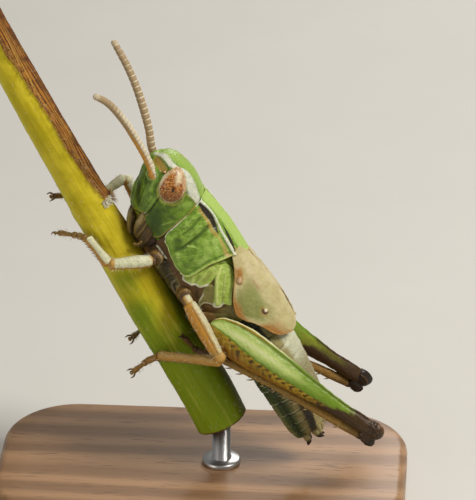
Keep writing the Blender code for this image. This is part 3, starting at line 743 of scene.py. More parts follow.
def makeMouth():
    horn = cuticle("mouthCuticle", (0.17, 0.115, 0.028), (0.11, 0.07, 0.014), (0.48, 0.4, 0.19),
                   (0.03, 0.014, 0.005), (0.22, 0.13, 0.03), (0.17, 0.16, 0.04), (0.06, 0.034, 0.008),
                   size=0.3, gloss=0.42, bump=0.016)

    def folds(at):
        # upright streaks, pale on the crests
        streak = np.sin(at.side * 5.0 + at.up * 5.5 + 1.5 * at.share)
        return dict(
            pale=0.42 * step(0.5, 1.0, streak) * step(0.95, 0.4, at.share),
            deep=0.9 * step(0.5, -0.5, streak),
            dark=0.9 * step(0.7, 0.95, at.share))

    def lobeFolds(at):
        return dict(
            dark=0.45 + 0.3 * np.sin(at.side * 6),
            deep=0.8,
            pale=0.3 * step(0.7, 1.0, np.sin(at.up * 7)))

    piece("labrum", [mouthPart("lip", folds, up=(1, 0, -0.8))], horn, ["labrum"])
    for side, tag in bothSides:
        piece("mandible" + tag, [mouthPart("jaw", folds, side)], horn, ["mandible_" + tag])
        lobes = [mouthPart("lobe", lobeFolds, side, seed=5),
                 mouthPart("hindLobe", lambda at: dict(dark=0.7, deep=1.0), side, seed=6)]
        # palps: short rods in line, the last one blunt
        for path in mouth["palps"]:
            knots = smooth(path, 4)
            for i, (near, far) in enumerate(zip(knots, knots[1:])):
                lobes.append(limb(sided(side, near, (near + far) / 2, far), (0.055, 0.065, 0.07 + 0.008 * i),
                                  None, 24, 18, caps=(0.05, 0.07), lumps=0.004,
                                  lay=lambda at: dict(pale=0.5 * step(0.5, 0.9, at.share), warm=0.6)))
        piece("maxilla" + tag, lobes, horn, ["maxilla_" + tag])


# Pronotum: a saddle-shaped shield. Across: 0 at the ridge, 1 at the lobe's lower edge. Along: front to back

pronotum = dict(
    length=4.0, ridge=(0.16, 0.25, 0.25, 0.15, 0.02), keel=(0.9, 0.8, 0.87, 1.05, 1.25),
    drop=(0.28, 0.32, 0.36, 0.4, 0.44), lobe=(1.42, 1.5, 1.6, 1.74, 1.85),
    bottom=(-2.62, -2.92, -3.2, -3.18, -3.02), thickness=0.13, rows=150, cols=300,
    frontEdge=((0, 4.0), (0.3, 3.98), (0.6, 3.8), (0.85, 3.62), (1, 3.32)),
    hindEdge=((0, -0.02), (0.12, 0.1), (0.3, 0.5), (0.6, 0.95), (0.85, 1.05), (1, 1.4)))
pronotumMarks = [
    mark([(3.9, 0, 0.2), (2.5, 0, 0.3), (1.2, 0, 0.2), (0.1, 0, 0)], 0.74, 0, 6, tint=1.0),
    mark([(3.9, 0, 0.2), (2.5, 0, 0.3), (1.2, 0, 0.2), (0.1, 0, 0)], 0.05, 0.05, pale=0.22),
    # side keels: creamy ridges that bend inwards, with a black field on either side in turn
    mark([(3.84, 0.98, -0.18), (3.27, 0.96, -0.23), (2.85, 0.95, -0.23), (2.34, 1.02, -0.35),
          (2.02, 1.07, -0.41)], (0.13, 0.17, 0.16, 0.11, 0.04), -0.02, 3, dark=1.0),
    mark([(3.6, 1.1, -0.36), (2.85, 1.1, -0.42), (2.3, 1.17, -0.53), (2.0, 1.17, -0.51)], 0.16, 0, warm=0.62),
    mark([(2.1, 0.78, -0.05), (1.6, 0.86, -0.12), (1.1, 0.93, -0.2), (0.58, 1.04, -0.34)],
         (0.02, 0.1, 0.12, 0.05), -0.02, 4, dark=1.0),
    mark([(1.85, 1.16, -0.46), (1.25, 1.24, -0.58), (0.83, 1.3, -0.69), (0.56, 1.28, -0.62)],
         (0.08, 0.15, 0.2, 0.16), 0, 2, warm=0.62, tint=0.45),
    mark([(0.75, 0.92, -0.2), (0.3, 0.98, -0.3)], 0.1, 0, 3, warm=0.6),
    mark([(3.98, 0.9, -0.1), (3.42, 0.83, -0.07), (2.88, 0.82, -0.07), (2.53, 0.86, -0.13),
          (1.92, 0.96, -0.25), (1.23, 1.07, -0.33), (0.63, 1.15, -0.4), (0.38, 1.2, -0.46)],
          (0.1, 0.07, 0.065, 0.07, 0.08, 0.09, 0.085, 0.065), 0.065, 3, pale=0.95),
    # the sulci, the light streak between them and soft swellings of the lobes
    mark([(2.64, 1.1, -0.56), (2.55, 1.36, -1.16), (2.54, 1.43, -1.66), (2.51, 1.5, -2.16),
          (2.6, 1.54, -2.72)], 0.12, -0.055, deep=1.0),
    mark([(2.62, 1.15, -0.6), (2.54, 1.43, -1.66), (2.53, 1.53, -2.39)], 0.028, -0.05, dark=0.3),
    mark([(2.48, 0.0, 0.27), (2.55, 0.4, 0.12), (2.6, 0.74, -0.05)], 0.04, -0.035, dark=0.15, deep=0.5),
    mark([(3.28, 1.15, -0.6), (3.12, 1.4, -1.2), (3.1, 1.48, -1.8)], 0.09, -0.035, deep=0.7),
    mark([(3.5, 1.25, -0.9), (3.38, 1.38, -1.5)], 0.1, 0.03, tint=0.55),
    mark([(2.92, 1.3, -0.9), (2.85, 1.44, -1.6)], 0.1, 0.03, tint=0.45),
    mark([(2.45, 1.52, -2.01), (2.27, 1.56, -1.81), (2.02, 1.55, -1.62)], (0.05, 0.05, 0.02), 0.03, tint=1.0,
         pale=0.15),
    mark([(2.94, 1.46, -2.28), (2.7, 1.49, -2.45)], 0.26, -0.03, deep=0.95),
    mark([(2.39, 1.56, -2.69), (2.2, 1.6, -2.8)], 0.16, 0.02, tint=0.6),
    mark([(1.65, 1.66, -2.4), (1.55, 1.66, -2.9)], 0.24, -0.02, deep=0.55),
    mark([(2.0, 1.45, -1.1), (1.5, 1.6, -1.3), (1.35, 1.66, -2.0)], 0.22, 0.03, tint=0.5),
    mark([(1.9, 1.3, -0.75), (1.3, 1.45, -0.9)], 0.18, 0.0, tint=0.7),
]


def pronotumGrid():
    # for each row the outline passes eight points at fixed shares of the way down, joined by a smooth curve
    p = pronotum
    downs = np.array([0, 0.15, 0.3, 0.36, 0.5, 0.68, 0.85, 1.0])
    along = np.linspace(0, 1, p["rows"])[:, None]
    front, back = (np.interp(downs, *zip(*p[name])) for name in ("frontEdge", "hindEdge"))
    x = front + (back - front) * along
    place = 1 - x / p["length"]
    ridge, keel, drop, lobe, bottom = (
        read(p[name], place) for name in ("ridge", "keel", "drop", "lobe", "bottom"))
    shoulder = ridge - keel * drop
    y = np.stack([0 * keel[:, 0], 0.5 * keel[:, 1], keel[:, 2], keel[:, 3] + 0.12,
                  keel[:, 4] + 0.66 * (lobe[:, 4] - keel[:, 4]), lobe[:, 5] - 0.05, lobe[:, 6],
                  lobe[:, 7] - 0.08], 1)
    z = np.stack([ridge[:, 0], 0.5 * (ridge[:, 1] + shoulder[:, 1]), shoulder[:, 2], shoulder[:, 3] - 0.18,
                  shoulder[:, 4] - 0.75, -1.7 + 0 * ridge[:, 5], 0.8 * bottom[:, 6] - 0.34, bottom[:, 7]], 1)
    left = np.stack([x, y, z], -1)
    whole = np.concatenate([left[:, ::-1], left[:, 1:] * (1, -1, 1)], 1)
    return smooth(whole, p["cols"], 1), along


def makePronotum():
    grid, along = pronotumGrid()
    grid, paint = sculpt(grid, snapped(pronotumMarks, grid), wrap=False)
    down = np.abs(np.linspace(-1, 1, pronotum["cols"]))[None, :]
    length = np.abs(grid[:1, :, 0] - grid[-1:, :, 0])
    ahead, behind = along * length, (1 - along) * length
    low = (1 - down) * 4.3
    lift = 0.035 * hill(ahead, 0.05) + 0.03 * hill(behind, 0.05) + 0.03 * hill(low, 0.05)
    lift = lift - 0.03 * hill(behind - 0.17, 0.06) - 0.02 * hill(low - 0.2, 0.07)
    lift = lift + 0.022 * ripple(grid, 0.5, 11) * step(0.3, 0.5, down) + 0.009 * ripple(grid, 0.2, 12)
    side = step(0.3, 0.38, down)
    paint["pale"] = np.maximum(paint["pale"], hill(ahead, 0.05, 4) * (0.2 + 0.8 * side)
                               + 0.4 * hill(low, 0.05, 4))
    paint["warm"] = np.maximum(paint["warm"], 0.8 * hill(behind, 0.065, 4) * (1 - 0.45 * side))
    paint["tint"] = highest(paint["tint"], hill(low, 0.12, 4), 0.9 * hill(behind, 0.1, 4) * side)
    paint["deep"] = np.maximum(paint["deep"], 0.6 * hill(behind - 0.2, 0.07) * side)
    out = normals(grid, False)
    grid = grid + out * lift[..., None]
    skin = cuticle("shieldCuticle", (0.125, 0.225, 0.016), (0.25, 0.4, 0.056), (0.66, 0.68, 0.52),
                   (0.02, 0.012, 0.006), (0.47, 0.27, 0.075), (0.37, 0.51, 0.12), (0.07, 0.13, 0.01),
                   size=0.34, amount=0.95, gloss=0.36, bump=0.014)
    thick = pronotum["thickness"] * (0.4 + 0.6 * step(0, 0.25, np.minimum(np.minimum(ahead, behind), low)))
    shield = shell(grid, grid - out * thick[..., None], paint)
    piece("pronotumShield", [shield], skin, ["pronotum"])


# Thorax: x, half width, top z, bottom z of each ring; its front end fills the shield

thorax = dict(
    rings=((3.92, 0.55, -0.9, -3.7), (3.7, 1.0, -0.6, -4.2), (3.1, 1.22, -0.5, -4.48),
           (2.2, 1.3, -0.62, -4.6), (1.0, 1.56, -0.66, -4.66), (-0.2, 1.78, -0.7, -4.68),
           (-1.4, 1.84, -0.78, -4.58), (-2.45, 1.8, -0.86, -4.35), (-2.6, 1.6, -1.0, -4.05)),
    rows=230, cols=240, squareness=2.3,
    # outlines of the flank's plates in the x, z plane: front, the sunk one behind it, and hind
    front=((1.15, -1.1), (1.45, -1.9), (1.38, -2.8), (1.2, -3.28), (0.96, -3.36), (0.72, -3.24),
           (0.56, -3.16), (0.5, -2.98), (0.4, -2.93), (0.28, -2.86), (0.19, -2.72), (0.13, -2.46),
           (0.19, -2.08), (0.4, -1.72), (0.62, -1.45), (0.8, -1.1)),
    middle=((0.1, -2.4), (-0.1, -2.22), (-0.54, -2.54), (-0.86, -2.86), (-0.68, -3.02), (-0.57, -3.22),
            (-0.6, -3.5), (-0.36, -3.4), (-0.16, -3.0), (0.04, -2.7)),
    hind=((0.55, -1.3), (0.6, -1.52), (0.31, -1.83), (-0.12, -2.17), (-0.54, -2.5), (-0.86, -2.8),
          (-0.98, -2.9), (-1.14, -2.78), (-1.22, -2.58), (-1.18, -2.36), (-1.4, -2.2), (-1.44, -2.02),
          (-1.18, -1.82), (-0.96, -1.66), (-0.67, -1.34), (-0.51, -1.1), (-0.12, -1.02), (0.3, -1.08)))
thoraxMarks = [
    # the leaf on the front plate, with the pale crease ahead of it
    mark([(0.53, 1.75, -2.73), (0.67, 1.74, -2.25), (0.8, 1.66, -1.8), (0.62, 1.61, -1.55),
          (0.4, 1.65, -1.76)], 0.035, 0.02, tint=0.8),
    mark([(0.45, 1.75, -2.35), (0.58, 1.68, -1.9)], 0.14, 0.03, deep=0.5),
    mark([(0.93, 1.7, -2.72), (0.62, 1.67, -3.16)], 0.045, 0.03, tint=1.0),
    mark([(0.78, 1.72, -2.5), (0.56, 1.7, -2.95)], 0.05, -0.05, warm=0.5),
    # painted shadow just under the hind edge of the pronotum's lobe
    mark([(1.1, 1.6, -1.8), (1.12, 1.62, -2.6), (0.95, 1.64, -1.5)], 0.1, -0.04, deep=1.0),
    # stripes of the hind plate
    mark([(0.44, 1.4, -1.42), (0.1, 1.7, -1.86), (-0.5, 1.82, -2.28), (-0.95, 1.85, -2.62)], 0.085, 0.05,
         tint=1.0),
    mark([(0.08, 1.55, -1.42), (-0.4, 1.76, -1.79), (-0.92, 1.84, -2.24), (-1.08, 1.85, -2.42)], 0.035, -0.06,
         deep=0.7),
    mark([(0.02, 1.55, -1.36), (-0.34, 1.74, -1.7), (-0.8, 1.84, -2.1)], 0.04, 0.0, tint=0.8),
    mark([(-0.55, 1.25, -1.15), (-0.72, 1.53, -1.38), (-1.0, 1.73, -1.71), (-1.42, 1.85, -2.06)], 0.05, 0.03,
         tint=1.0, pale=0.12),
    # the rim that shows in front of the breast, the coxal cavities and the breastplate
    mark([(3.22, 0.98, -3.38), (3.08, 1.05, -3.4), (2.75, 1.15, -3.42), (2.45, 1.2, -3.42)],
         (0.05, 0.06, 0.075, 0.05), 0.15, 3, pale=1.0, tint=0.5),
    mark([(1.2, 1.35, -3.8), (1.1, 1.25, -4.15), (0.7, 1.2, -4.38), (0.3, 1.3, -4.3)], 0.09, 0.07, pale=0.38),
    mark([(0.85, 1.4, -3.75), (0.8, 1.35, -4.0), (0.55, 1.3, -4.15)], 0.08, 0.06, pale=0.34),
    mark([(1.02, 1.35, -3.95), (0.9, 1.3, -4.2), (0.5, 1.25, -4.25)], 0.06, -0.06, dark=0.8),
    mark([(1.55, 1.45, -3.55), (1.65, 1.3, -3.9), (1.5, 1.1, -4.3)], 0.07, 0.06, pale=0.3),
    mark([(2.3, 1.2, -3.6), (2.35, 1.1, -3.9), (2.2, 0.9, -4.3)], 0.06, 0.06, pale=0.35),
    mark([(1.95, 1.05, -3.95), (1.35, 1.2, -4.05), (1.0, 1.2, -4.35)], 0.4, 0, 3, dark=0.68),
    mark([(3.7, 0.7, -3.5), (2.9, 0.9, -3.8), (2.2, 1.1, -3.8)], 0.42, -0.03, 3, dark=0.75),
    mark([(2.6, 0, -4.4), (1.0, 0, -4.5), (-2.2, 0, -4.3)], 0.8, 0, 5, deep=0.8),
    mark([(1.35, 1.45, -3.8), (1.9, 0.9, -4.3), (2.0, 0, -4.4)], 0.06, -0.06, dark=0.6),
    mark([(-0.5, 1.6, -3.9), (-0.5, 0.9, -4.4), (-0.5, 0, -4.45)], 0.06, -0.06, dark=0.6),
    mark([(0.15, 1.66, -3.15), (-0.1, 1.7, -3.35)], 0.16, -0.05, dark=0.6),
    mark([(-1.0, 1.7, -3.3), (-1.4, 1.76, -3.0), (-1.6, 1.8, -2.6)], 0.16, -0.04, dark=0.35),
]


def makeThorax():
    x, w, top, bottom = columns(thorax["rings"], thorax["rows"])
    turn = turns(thorax["cols"])
    y = squared(np.cos(turn), thorax["squareness"]) * w
    z = (top + bottom) / 2 + squared(np.sin(turn), thorax["squareness"]) * (top - bottom) / 2
    flank = np.stack([x + 0 * y, y, z], -1)
    # each plate stands proud of the soft brown skin by height * S(depth inside its outline)
    front, middle, hind = (depthIn(flank, thorax[name]) for name in ("front", "middle", "hind"))
    outside = step(0.7, 1.0, np.abs(y) + 0 * x)
    lift = ((0.12 * step(-0.03, 0.03, front) * step(1.35, 0.85, x) + 0.07 * step(-0.05, 0.04, middle)
             + 0.13 * step(-0.03, 0.03, hind)) * outside)
    grid, paint = sculpt(flank, snapped(thoraxMarks, flank))
    lift = lift + 0.022 * ripple(grid, 0.5, 21) + 0.012 * ripple(grid, 0.18, 22)
    grid = grid + normals(flank, True) * lift[..., None]
    plates = step(-0.03, 0.02, highest(front, hind, middle)) * outside
    soft = (1 - plates) * step(-1.7, -2.1, z)
    # dusk: a painted shadow on the lower belly where it faces the stem, darker and less brown
    dusk = 0.75 * span(x, 0.6, 1.0, 1.9, 2.4) * step(-3.6, -3.8, z)
    rims = [hill(depth - 0.04, 0.075 + 0.02 * ripple(grid, 0.35, 23), 4) * step(-2.15, -2.5, z) * outside
            for depth in (front, hind)]
    low = hill(middle - 0.03, 0.06, 4) * step(-2.7, -2.95, z) * outside
    rims[1] = rims[1] * step(-0.75, -0.92, x)
    paint["pale"] = highest(paint["pale"], *rims, 0.6 * low)
    paint["warm"] = np.clip(paint["warm"] * plates + soft * 0.95 * (1 - dusk), 0, 1)
    tan = step(-1.25, -1.5, x) * step(-1.6, -1.9, z) * (1 - plates)
    paint["warm"] = paint["warm"] * (1 - 0.6 * tan)
    paint["deep"] = highest(paint["deep"], step(-0.02, 0.03, middle) * outside, tan, dusk / 0.75)
    paint["dark"] = np.maximum(paint["dark"], 0.75 * dusk * (1 - plates))
    paint["tint"] = paint["tint"] * np.maximum(plates, step(2.0, 2.4, x))
    skin = cuticle("pleuraCuticle", (0.275, 0.375, 0.05), (0.37, 0.475, 0.095), (0.66, 0.64, 0.47),
                   (0.028, 0.018, 0.008), (0.12, 0.058, 0.014), (0.5, 0.56, 0.17), (0.185, 0.16, 0.04),
                   size=0.3, amount=0.9, gloss=0.45, bump=0.016)
    piece("thoraxCuticle", [loft(grid, paint)], skin, ["thorax"])


# Abdomen: nine rings that sleeve into each other, each flared to a pale hind edge

abdomen = dict(rings=((-2.45, 1.76, -0.9, -4.2), (-4.0, 1.7, -0.95, -4.22), (-5.5, 1.62, -1.06, -4.3),
                      (-7.0, 1.5, -1.36, -4.42), (-8.5, 1.3, -1.72, -4.56), (-9.55, 1.05, -2.16, -4.66),
                      (-10.3, 0.74, -2.66, -4.62), (-10.5, 0.4, -3.1, -4.4)),
               joints=(-2.6, -3.35, -4.25, -5.15, -6.05, -6.95, -7.85, -8.7, -9.4, -9.95, -10.5),
               rows=420, cols=150, squareness=2.2,
               # the digging valves: the upper pair hooks up and the lower pair down
               ovipositorUpper=((-10.1, 0.2, -3.45), (-10.6, 0.22, -3.52), (-10.95, 0.2, -3.48),
                                (-11.16, 0.16, -3.3)),
               ovipositorLower=((-10.1, 0.2, -4.1), (-10.6, 0.22, -4.08), (-10.92, 0.2, -4.16),
                                (-11.12, 0.16, -4.36)))


def makeAbdomen():
    x, w, top, bottom = columns(abdomen["rings"], abdomen["rows"])
    joints = np.array(abdomen["joints"])[::-1]
    spot = np.clip(np.searchsorted(joints, x, side="right") - 1, 0, len(joints) - 2)
    within = 1 - (x - joints[spot]) / (joints[spot + 1] - joints[spot])
    flare = 1 - 0.05 * step(0.3, 0.0, within) + 0.012 * step(0.6, 1.0, within)
    turn = turns(abdomen["cols"])
    up = np.sin(turn)
    y = squared(np.cos(turn), abdomen["squareness"]) * w * flare
    z = (top + bottom) / 2 + squared(up, abdomen["squareness"]) * (top - bottom) / 2 * flare
    grid = np.stack([x + 0 * y, y, z], -1)
    out = normals(grid, True)
    # a fold runs along each flank between the back plates and the belly plates
    fold = hill(up + 0.42, 0.09)
    keel = hill(up - 1, 0.02)
    lift = -0.09 * fold + 0.03 * keel + 0.016 * ripple(grid, 0.5, 31) + 0.006 * ripple(grid, 0.16, 32)
    grid = grid + out * lift[..., None]
    band = hill(within - 0.93, 0.06) + 0 * up
    seam = hill(within, 0.1) + 0 * up
    # the pale back is partly its own colour and partly painted light, brightest about x -4.6 to -5.2; the
    # dark flank band is its own band and painted shade under the wing; deep on the underside is painted shade
    back = step(0.62, 0.86, up) + 0 * x
    paint = dict(
        pale=back * (0.3 + 0.65 * span(x, -7.2, -5.2, -4.6, -3.6)) + 0.45 * band * step(0.5, -0.2, up),
        warm=0.8 * span(up, 0.2, 0.6, 0.7, 0.9) + 0.35 * back * step(-5.6, -7.0, x),
        dark=0.55 * seam + 0.8 * span(up, -0.05, 0.25, 0.4, 0.55) + 0.5 * fold,
        tint=0.5 * step(-0.5, -0.75, up) * step(-6.5, -8.5, x) + 0 * up,
        deep=step(0.1, -0.4, up) + 0 * x)
    horn = cuticle("abdomenCuticle", (0.16, 0.13, 0.045), (0.22, 0.18, 0.07), (0.5, 0.5, 0.35),
                   (0.018, 0.015, 0.008), (0.3, 0.25, 0.1), (0.26, 0.25, 0.08), (0.032, 0.058, 0.016),
                   gloss=0.42)
    bodies = [loft(grid, paint)]
    # the plate over the vent and the cerci
    bodies.append(limb([(-10.1, 0, -2.75), (-10.5, 0, -2.98), (-10.85, 0, -3.22)], (0.1, 0.12, 0.06),
                       (0.5, 0.42, 0.18), caps=(0.1, 0.2), lay=lambda at: dict(warm=0.8)))
    for side in (1, -1):
        bodies.append(limb(sided(side, (-10.15, 0.52, -3.02), (-10.5, 0.56, -3.1), (-10.86, 0.52, -3.22)),
                           (0.13, 0.11, 0.03), (0.12, 0.1, 0.03), 30, 20, caps=(0.05, 0.08),
                           lay=lambda at: dict(warm=0.9, dark=step(0.6, 1.0, at.share))))
    piece("abdomenRings", bodies, horn, ["abdomen"])
    claw = lambda at: dict(warm=1.0, dark=step(0.45, 0.85, at.share))
    for name, node in (("ovipositorUpper", "ovipositor_upper"), ("ovipositorLower", "ovipositor_lower")):
        valves = [limb(sided(side, *abdomen[name]), (0.24, 0.21, 0.17, 0.04), (0.19, 0.17, 0.12, 0.03),
                       40, 24, caps=(0.1, 0.05), lay=claw) for side in (1, -1)]
        piece(name, valves, horn, [node])


# Forewings: short leathery covers. Along x; across: 0 at the back, 1 at the lower edge

wing = dict(
    # x, and the angle round the body of the upper and the lower edge, in degrees
    outline=((0.62, 86, 52), (-0.3, 88, 34), (-0.75, 89, 23), (-1.2, 90, 13.5), (-1.6, 90, 8), (-2.05, 91, 5),
             (-2.5, 91, 9), (-2.85, 91, 15), (-3.45, 90, 23), (-4.05, 87, 29), (-4.42, 82, 36),
             (-4.65, 76, 45), (-4.77, 70, 54), (-4.81, 66, 61)),
    farCut=(0, 0, 0, 0, 0, 1, 3, 6, 11, 16, 18, 16, 6, 0),
    centre=(-2.2, -2.33, -2.45), halfWidth=(1.98, 2.09, 1.86), halfHeight=(2.16, 2.33, 2.14),
    thickness=0.15, rows=240, cols=150, veins=(0.1, 0.22, 0.33, 0.45, 0.56, 0.68, 0.8, 0.91),
    spots=dict(spot=((-2.84, 1.62, -0.85), (-2.84, 1.62, -0.84)),
               patch=((-0.58, 1.6, -0.88), (-0.66, 1.66, -0.96)),
               streak=((-1.17, 1.28, -0.5), (-1.65, 1.34, -0.52)),
               knob=((-0.24, 1.43, -0.7), (-0.36, 1.48, -0.75))))


def wingCover(side):
    # a sheet on elliptic rings, y = w cos(angle), z = middle + h sin(angle), with its veins, knob and spot;
    # the far cover is cut back where the near one lies over it
    x, high, low = columns(wing["outline"], wing["rows"])
    if side < 0:
        high = high - smooth(wing["farCut"], wing["rows"])[:, None]
    share = np.clip((0.6 - x) / 5.5, 0, 1)
    middle, w, h = (read(wing[name], share) for name in ("centre", "halfWidth", "halfHeight"))
    across = np.linspace(0, 1, wing["cols"])[None, :]
    angle = np.radians(high + (low - high) * across)
    sheet = np.stack([x + 0 * angle, w * np.cos(angle), middle + h * np.sin(angle)], -1)
    out = normals(sheet, False)
    out = out * np.sign((out * (0, 1, 1)).sum(-1, keepdims=True))
    veins = sum(hill(across - v - 0.045 * np.sin(share * 3 + 7 * v) + 0.06 * (v - 0.5) * share, 0.014)
                for v in wing["veins"])
    veins = np.clip(veins, 0, 1)
    near = {name: fromCurve(sheet, np.array(path))[0] for name, path in wing["spots"].items()}
    edge = np.minimum(across, 1 - across)
    lift = (0.01 * veins + 0.05 * hill(near["spot"], 0.12) - 0.03 * hill(near["spot"] - 0.24, 0.08)
            + 0.07 * hill(near["knob"], 0.13) + 0.06 * hill(near["patch"], 0.13)
            + 0.025 * ripple(sheet, 0.9, 41) + 0.008 * ripple(sheet, 0.25, 42) + 0.02 * hill(edge, 0.03))
    lift = lift * step(0, 0.06, share)
    wander = 0.08 * ripple(sheet, 1.6, 43)
    paint = dict(
        tint=0.85 * step(0.3, 0.75, across + wander) * step(1.0, 0.88, across)
            * step(0.08, 0.42, share + wander) * step(0.88, 0.55, share),
        warm=step(0.88, 1.0, across + 0.5 * wander) * step(0.03, 0.12, share) * 0.72
            + 0.7 * step(0.78, 0.95, across) * hill(share - 0.44, 0.09) + 1.1 * hill(near["knob"], 0.19)
            + 0.8 * hill(near["patch"], 0.24) + 0.45 * hill(near["streak"], 0.13)
            + 0.55 * hill(near["spot"] - 0.22, 0.16) * step(-0.6, -1.0, sheet[..., 2])
            + 0.62 * step(0.66, 0.84, share) * step(0.42, 0.85, across) + 0.3 * step(0.05, 0.0, across),
        # pale on the raised patch is a painted highlight
        pale=hill(near["spot"], 0.115, 4) + 0.55 * hill(near["patch"], 0.09) + 0.3 * step(0.3, 0.05, across)
            + 0.36 * hill(across - 0.45 + wander, 0.2) * span(share, 0.0, 0.1, 0.25, 0.75),
        # dark just below the raised spot and the raised patch is painted shade
        dark=0.85 * hill(near["spot"] - 0.18, 0.07)
            * step(-0.8, -0.95, sheet[..., 2] + 0.25 * (sheet[..., 0] + 2.84))
            + 0.6 * hill(near["patch"] - 0.17, 0.06) * step(-0.85, -0.98, sheet[..., 2]),
        deep=0.6 * hill(near["streak"], 0.07))
    thick = wing["thickness"] * (0.35 + 0.65 * step(0, 0.05, edge)) * (0.5 + 0.5 * step(1.0, 0.9, share))
    outer = sheet + out * lift[..., None]
    return shell(outer * (1, side, 1), (outer - out * thick[..., None]) * (1, side, 1), paint)


def makeWings():
    def look(w):
        soft = w.noise(0.9, 4, 0.6)
        net = 1 - w.cells(0.16, "DISTANCE_TO_EDGE", (0.45, 1, 1)).over(0.02, 0.12)
        fine = w.noise(0.09, 2)
        ragged = (fine - 0.5) * 0.3 + (soft - 0.5) * 0.7
        colour = soft.over(0.32, 0.68).blend((0.41, 0.345, 0.15), (0.52, 0.46, 0.235))
        colour = w.marks(colour, ragged, 0.05, 1.0, tint=(0.215, 0.235, 0.058), deep=(0.2, 0.13, 0.04),
                         warm=(0.34, 0.155, 0.028), dark=(0.07, 0.035, 0.02), pale=(0.74, 0.62, 0.48))
        colour = (net * 0.1).blend(colour, (0.3, 0.24, 0.1))
        return colour, 0.36 + fine * 0.25, [(net, 0.006), (soft, 0.03), (w.noise(0.05, 2), 0.004)]

    leather = finish("wingLeather", look, Subsurface_Weight=0.15, Subsurface_Radius=(0.9, 0.6, 0.3),
                     Subsurface_Scale=0.0002, Specular_IOR_Level=0.35)
    for side, tag in bothSides:
        piece("forewing" + tag, [wingCover(side)], leather, ["forewing_" + tag])


makeMouth()
makePronotum()
makeThorax()
makeAbdomen()
makeWings()
print("trunk and wings made")


# Legs: the joints of each in the body's frame

shortLegs = dict(
    foreL=dict(coxa=(2.8, 0.95, -3.7), hip=(2.83, 1.55, -3.98), knee=(4.25, 2.4, -5.69),
               ankle=(5.71, 1.31, -6.07), sole=(6.04, 0.92, -6.55), tip=(6.66, 0.5, -7.48),
               thigh=(0.3, 0.38, 0.33, 0.26), shin=0.235),
    foreR=dict(coxa=(2.8, -0.95, -3.7), hip=(3.15, -1.5, -3.93), knee=(6.32, -2.2, -3.6),
               ankle=(6.5, -1.36, -5.3), sole=(7.2, -1.28, -5.86), tip=(8.2, -0.34, -6.68),
               thigh=(0.3, 0.38, 0.33, 0.26), shin=0.235),
    midL=dict(coxa=(0.4, 1.25, -3.8), hip=(0.18, 1.9, -3.78), knee=(-3.4, 2.92, -4.11),
              ankle=(-1.75, 1.64, -7.03), sole=(-1.82, 1.06, -8.02), tip=(-2.03, 0.7, -9.15),
              thigh=(0.34, 0.43, 0.38, 0.3), shin=0.25),
    midR=dict(coxa=(0.4, -1.25, -3.8), hip=(0.12, -1.76, -3.85), knee=(-3.15, -3.05, -4.4),
              ankle=(-1.3, -1.76, -6.98), sole=(-0.98, -1.34, -7.8), tip=(-0.8, -0.5, -8.45),
              thigh=(0.34, 0.43, 0.38, 0.3), shin=0.25))
nodeOf = dict(foreL="foreleg_L_", foreR="foreleg_R_", midL="midleg_L_", midR="midleg_R_")
hairRoots = []


def between(near, far, *shares):
    near, far = np.asarray(near, float), np.asarray(far, float)
    return [near + (far - near) * share for share in shares]


def alongRow(near, far, count, radius, turn, first=0.1, last=0.95):
    # count places down a limb at one turn round it, with the outward direction and the limb's own direction
    near, far = np.asarray(near, float), np.asarray(far, float)
    ahead, side, rise = frameOf(near, far)
    out = side * math.cos(math.radians(turn)) + rise * math.sin(math.radians(turn))
    places = near + (far - near) * np.linspace(first, last, count)[:, None] + out * radius * 0.85
    return places, np.broadcast_to(out, places.shape), ahead


def spines(near, far, count, radius, turn, first, last, lean, length, thick, sides, curl=0.0,
           dark=(0, 0.2, 0.8, 1), pale=0):
    # a row of spines down a limb: each leans outwards by lean, and bends back by curl
    roots, out, ahead = alongRow(near, far, count, radius, turn, first, last)
    return spikes(roots, out * lean + ahead, length, thick, curl=-out[0] * curl, sides=sides, steps=4,
                  dark=dark, pale=pale)


def offsets(origin, frameAxes, *steps):
    # points at so much ahead, to the side and up from an origin
    ahead, side, rise = frameAxes
    return [origin + ahead * a + side * b + rise * c for a, b, c in steps]


def makeFoot(ankle, sole, tip, radius):
    # three segments with pads under the first two, a pair of claws and the pad between them
    ankle, sole, tip = (np.asarray(p, float) for p in (ankle, sole, tip))
    dusk = lambda at: dict(warm=0.5 * step(0.3, -0.6, at.up), deep=1.0,
                           dark=0.35 + 0.4 * step(0.8, 1.0, at.share))
    bodies = [limb(between(ankle, sole, 0.08, 0.5, 1.02), (radius, radius * 0.9, radius * 1.05),
                   (radius, radius * 0.9, radius), 36, 24, caps=(0.12, 0.12), lumps=0.006, lay=dusk),
              limb(between(sole, tip, 0, 0.16, 0.3), (radius * 0.8, radius * 0.9, radius * 0.8),
                   (radius * 0.8, radius * 0.85, radius * 0.8), 24, 24, caps=(0.1, 0.1), lumps=0.006,
                   lay=dusk),
              limb(between(sole, tip, 0.27, 0.6, 0.86, 1.0),
                   (radius * 0.55, radius * 0.6, radius * 0.78, radius * 0.7), None, 36, 24,
                   caps=(0.1, 0.1), lumps=0.005, lay=dusk)]
    axes = frameOf(sole, tip)
    for turn in (1, -1):
        start, = offsets(tip, axes, (-0.06, turn * radius * 0.5, 0))
        claw = offsets(start, axes, (0, 0, 0), (0.14, turn * 0.1, 0), (0.26, turn * 0.13, -0.06),
                       (0.3, turn * 0.12, -0.18))
        bodies.append(limb(claw, (0.06, 0.05, 0.035, 0.01), None, 20, 12, caps=(0.03, 0.02), lumps=0,
                           lay=lambda at: dict(dark=0.4 + 0.6 * at.share)))
    bodies.append(limb(offsets(tip, axes, (0, 0, -0.02), (0.12, 0, -0.06), (0.2, 0, -0.08)),
                       (0.05, 0.06, 0.05), (0.08, 0.12, 0.1), 16, 16, caps=(0.04, 0.06), lumps=0,
                       lay=lambda at: dict(dark=0.5)))
    return bodies


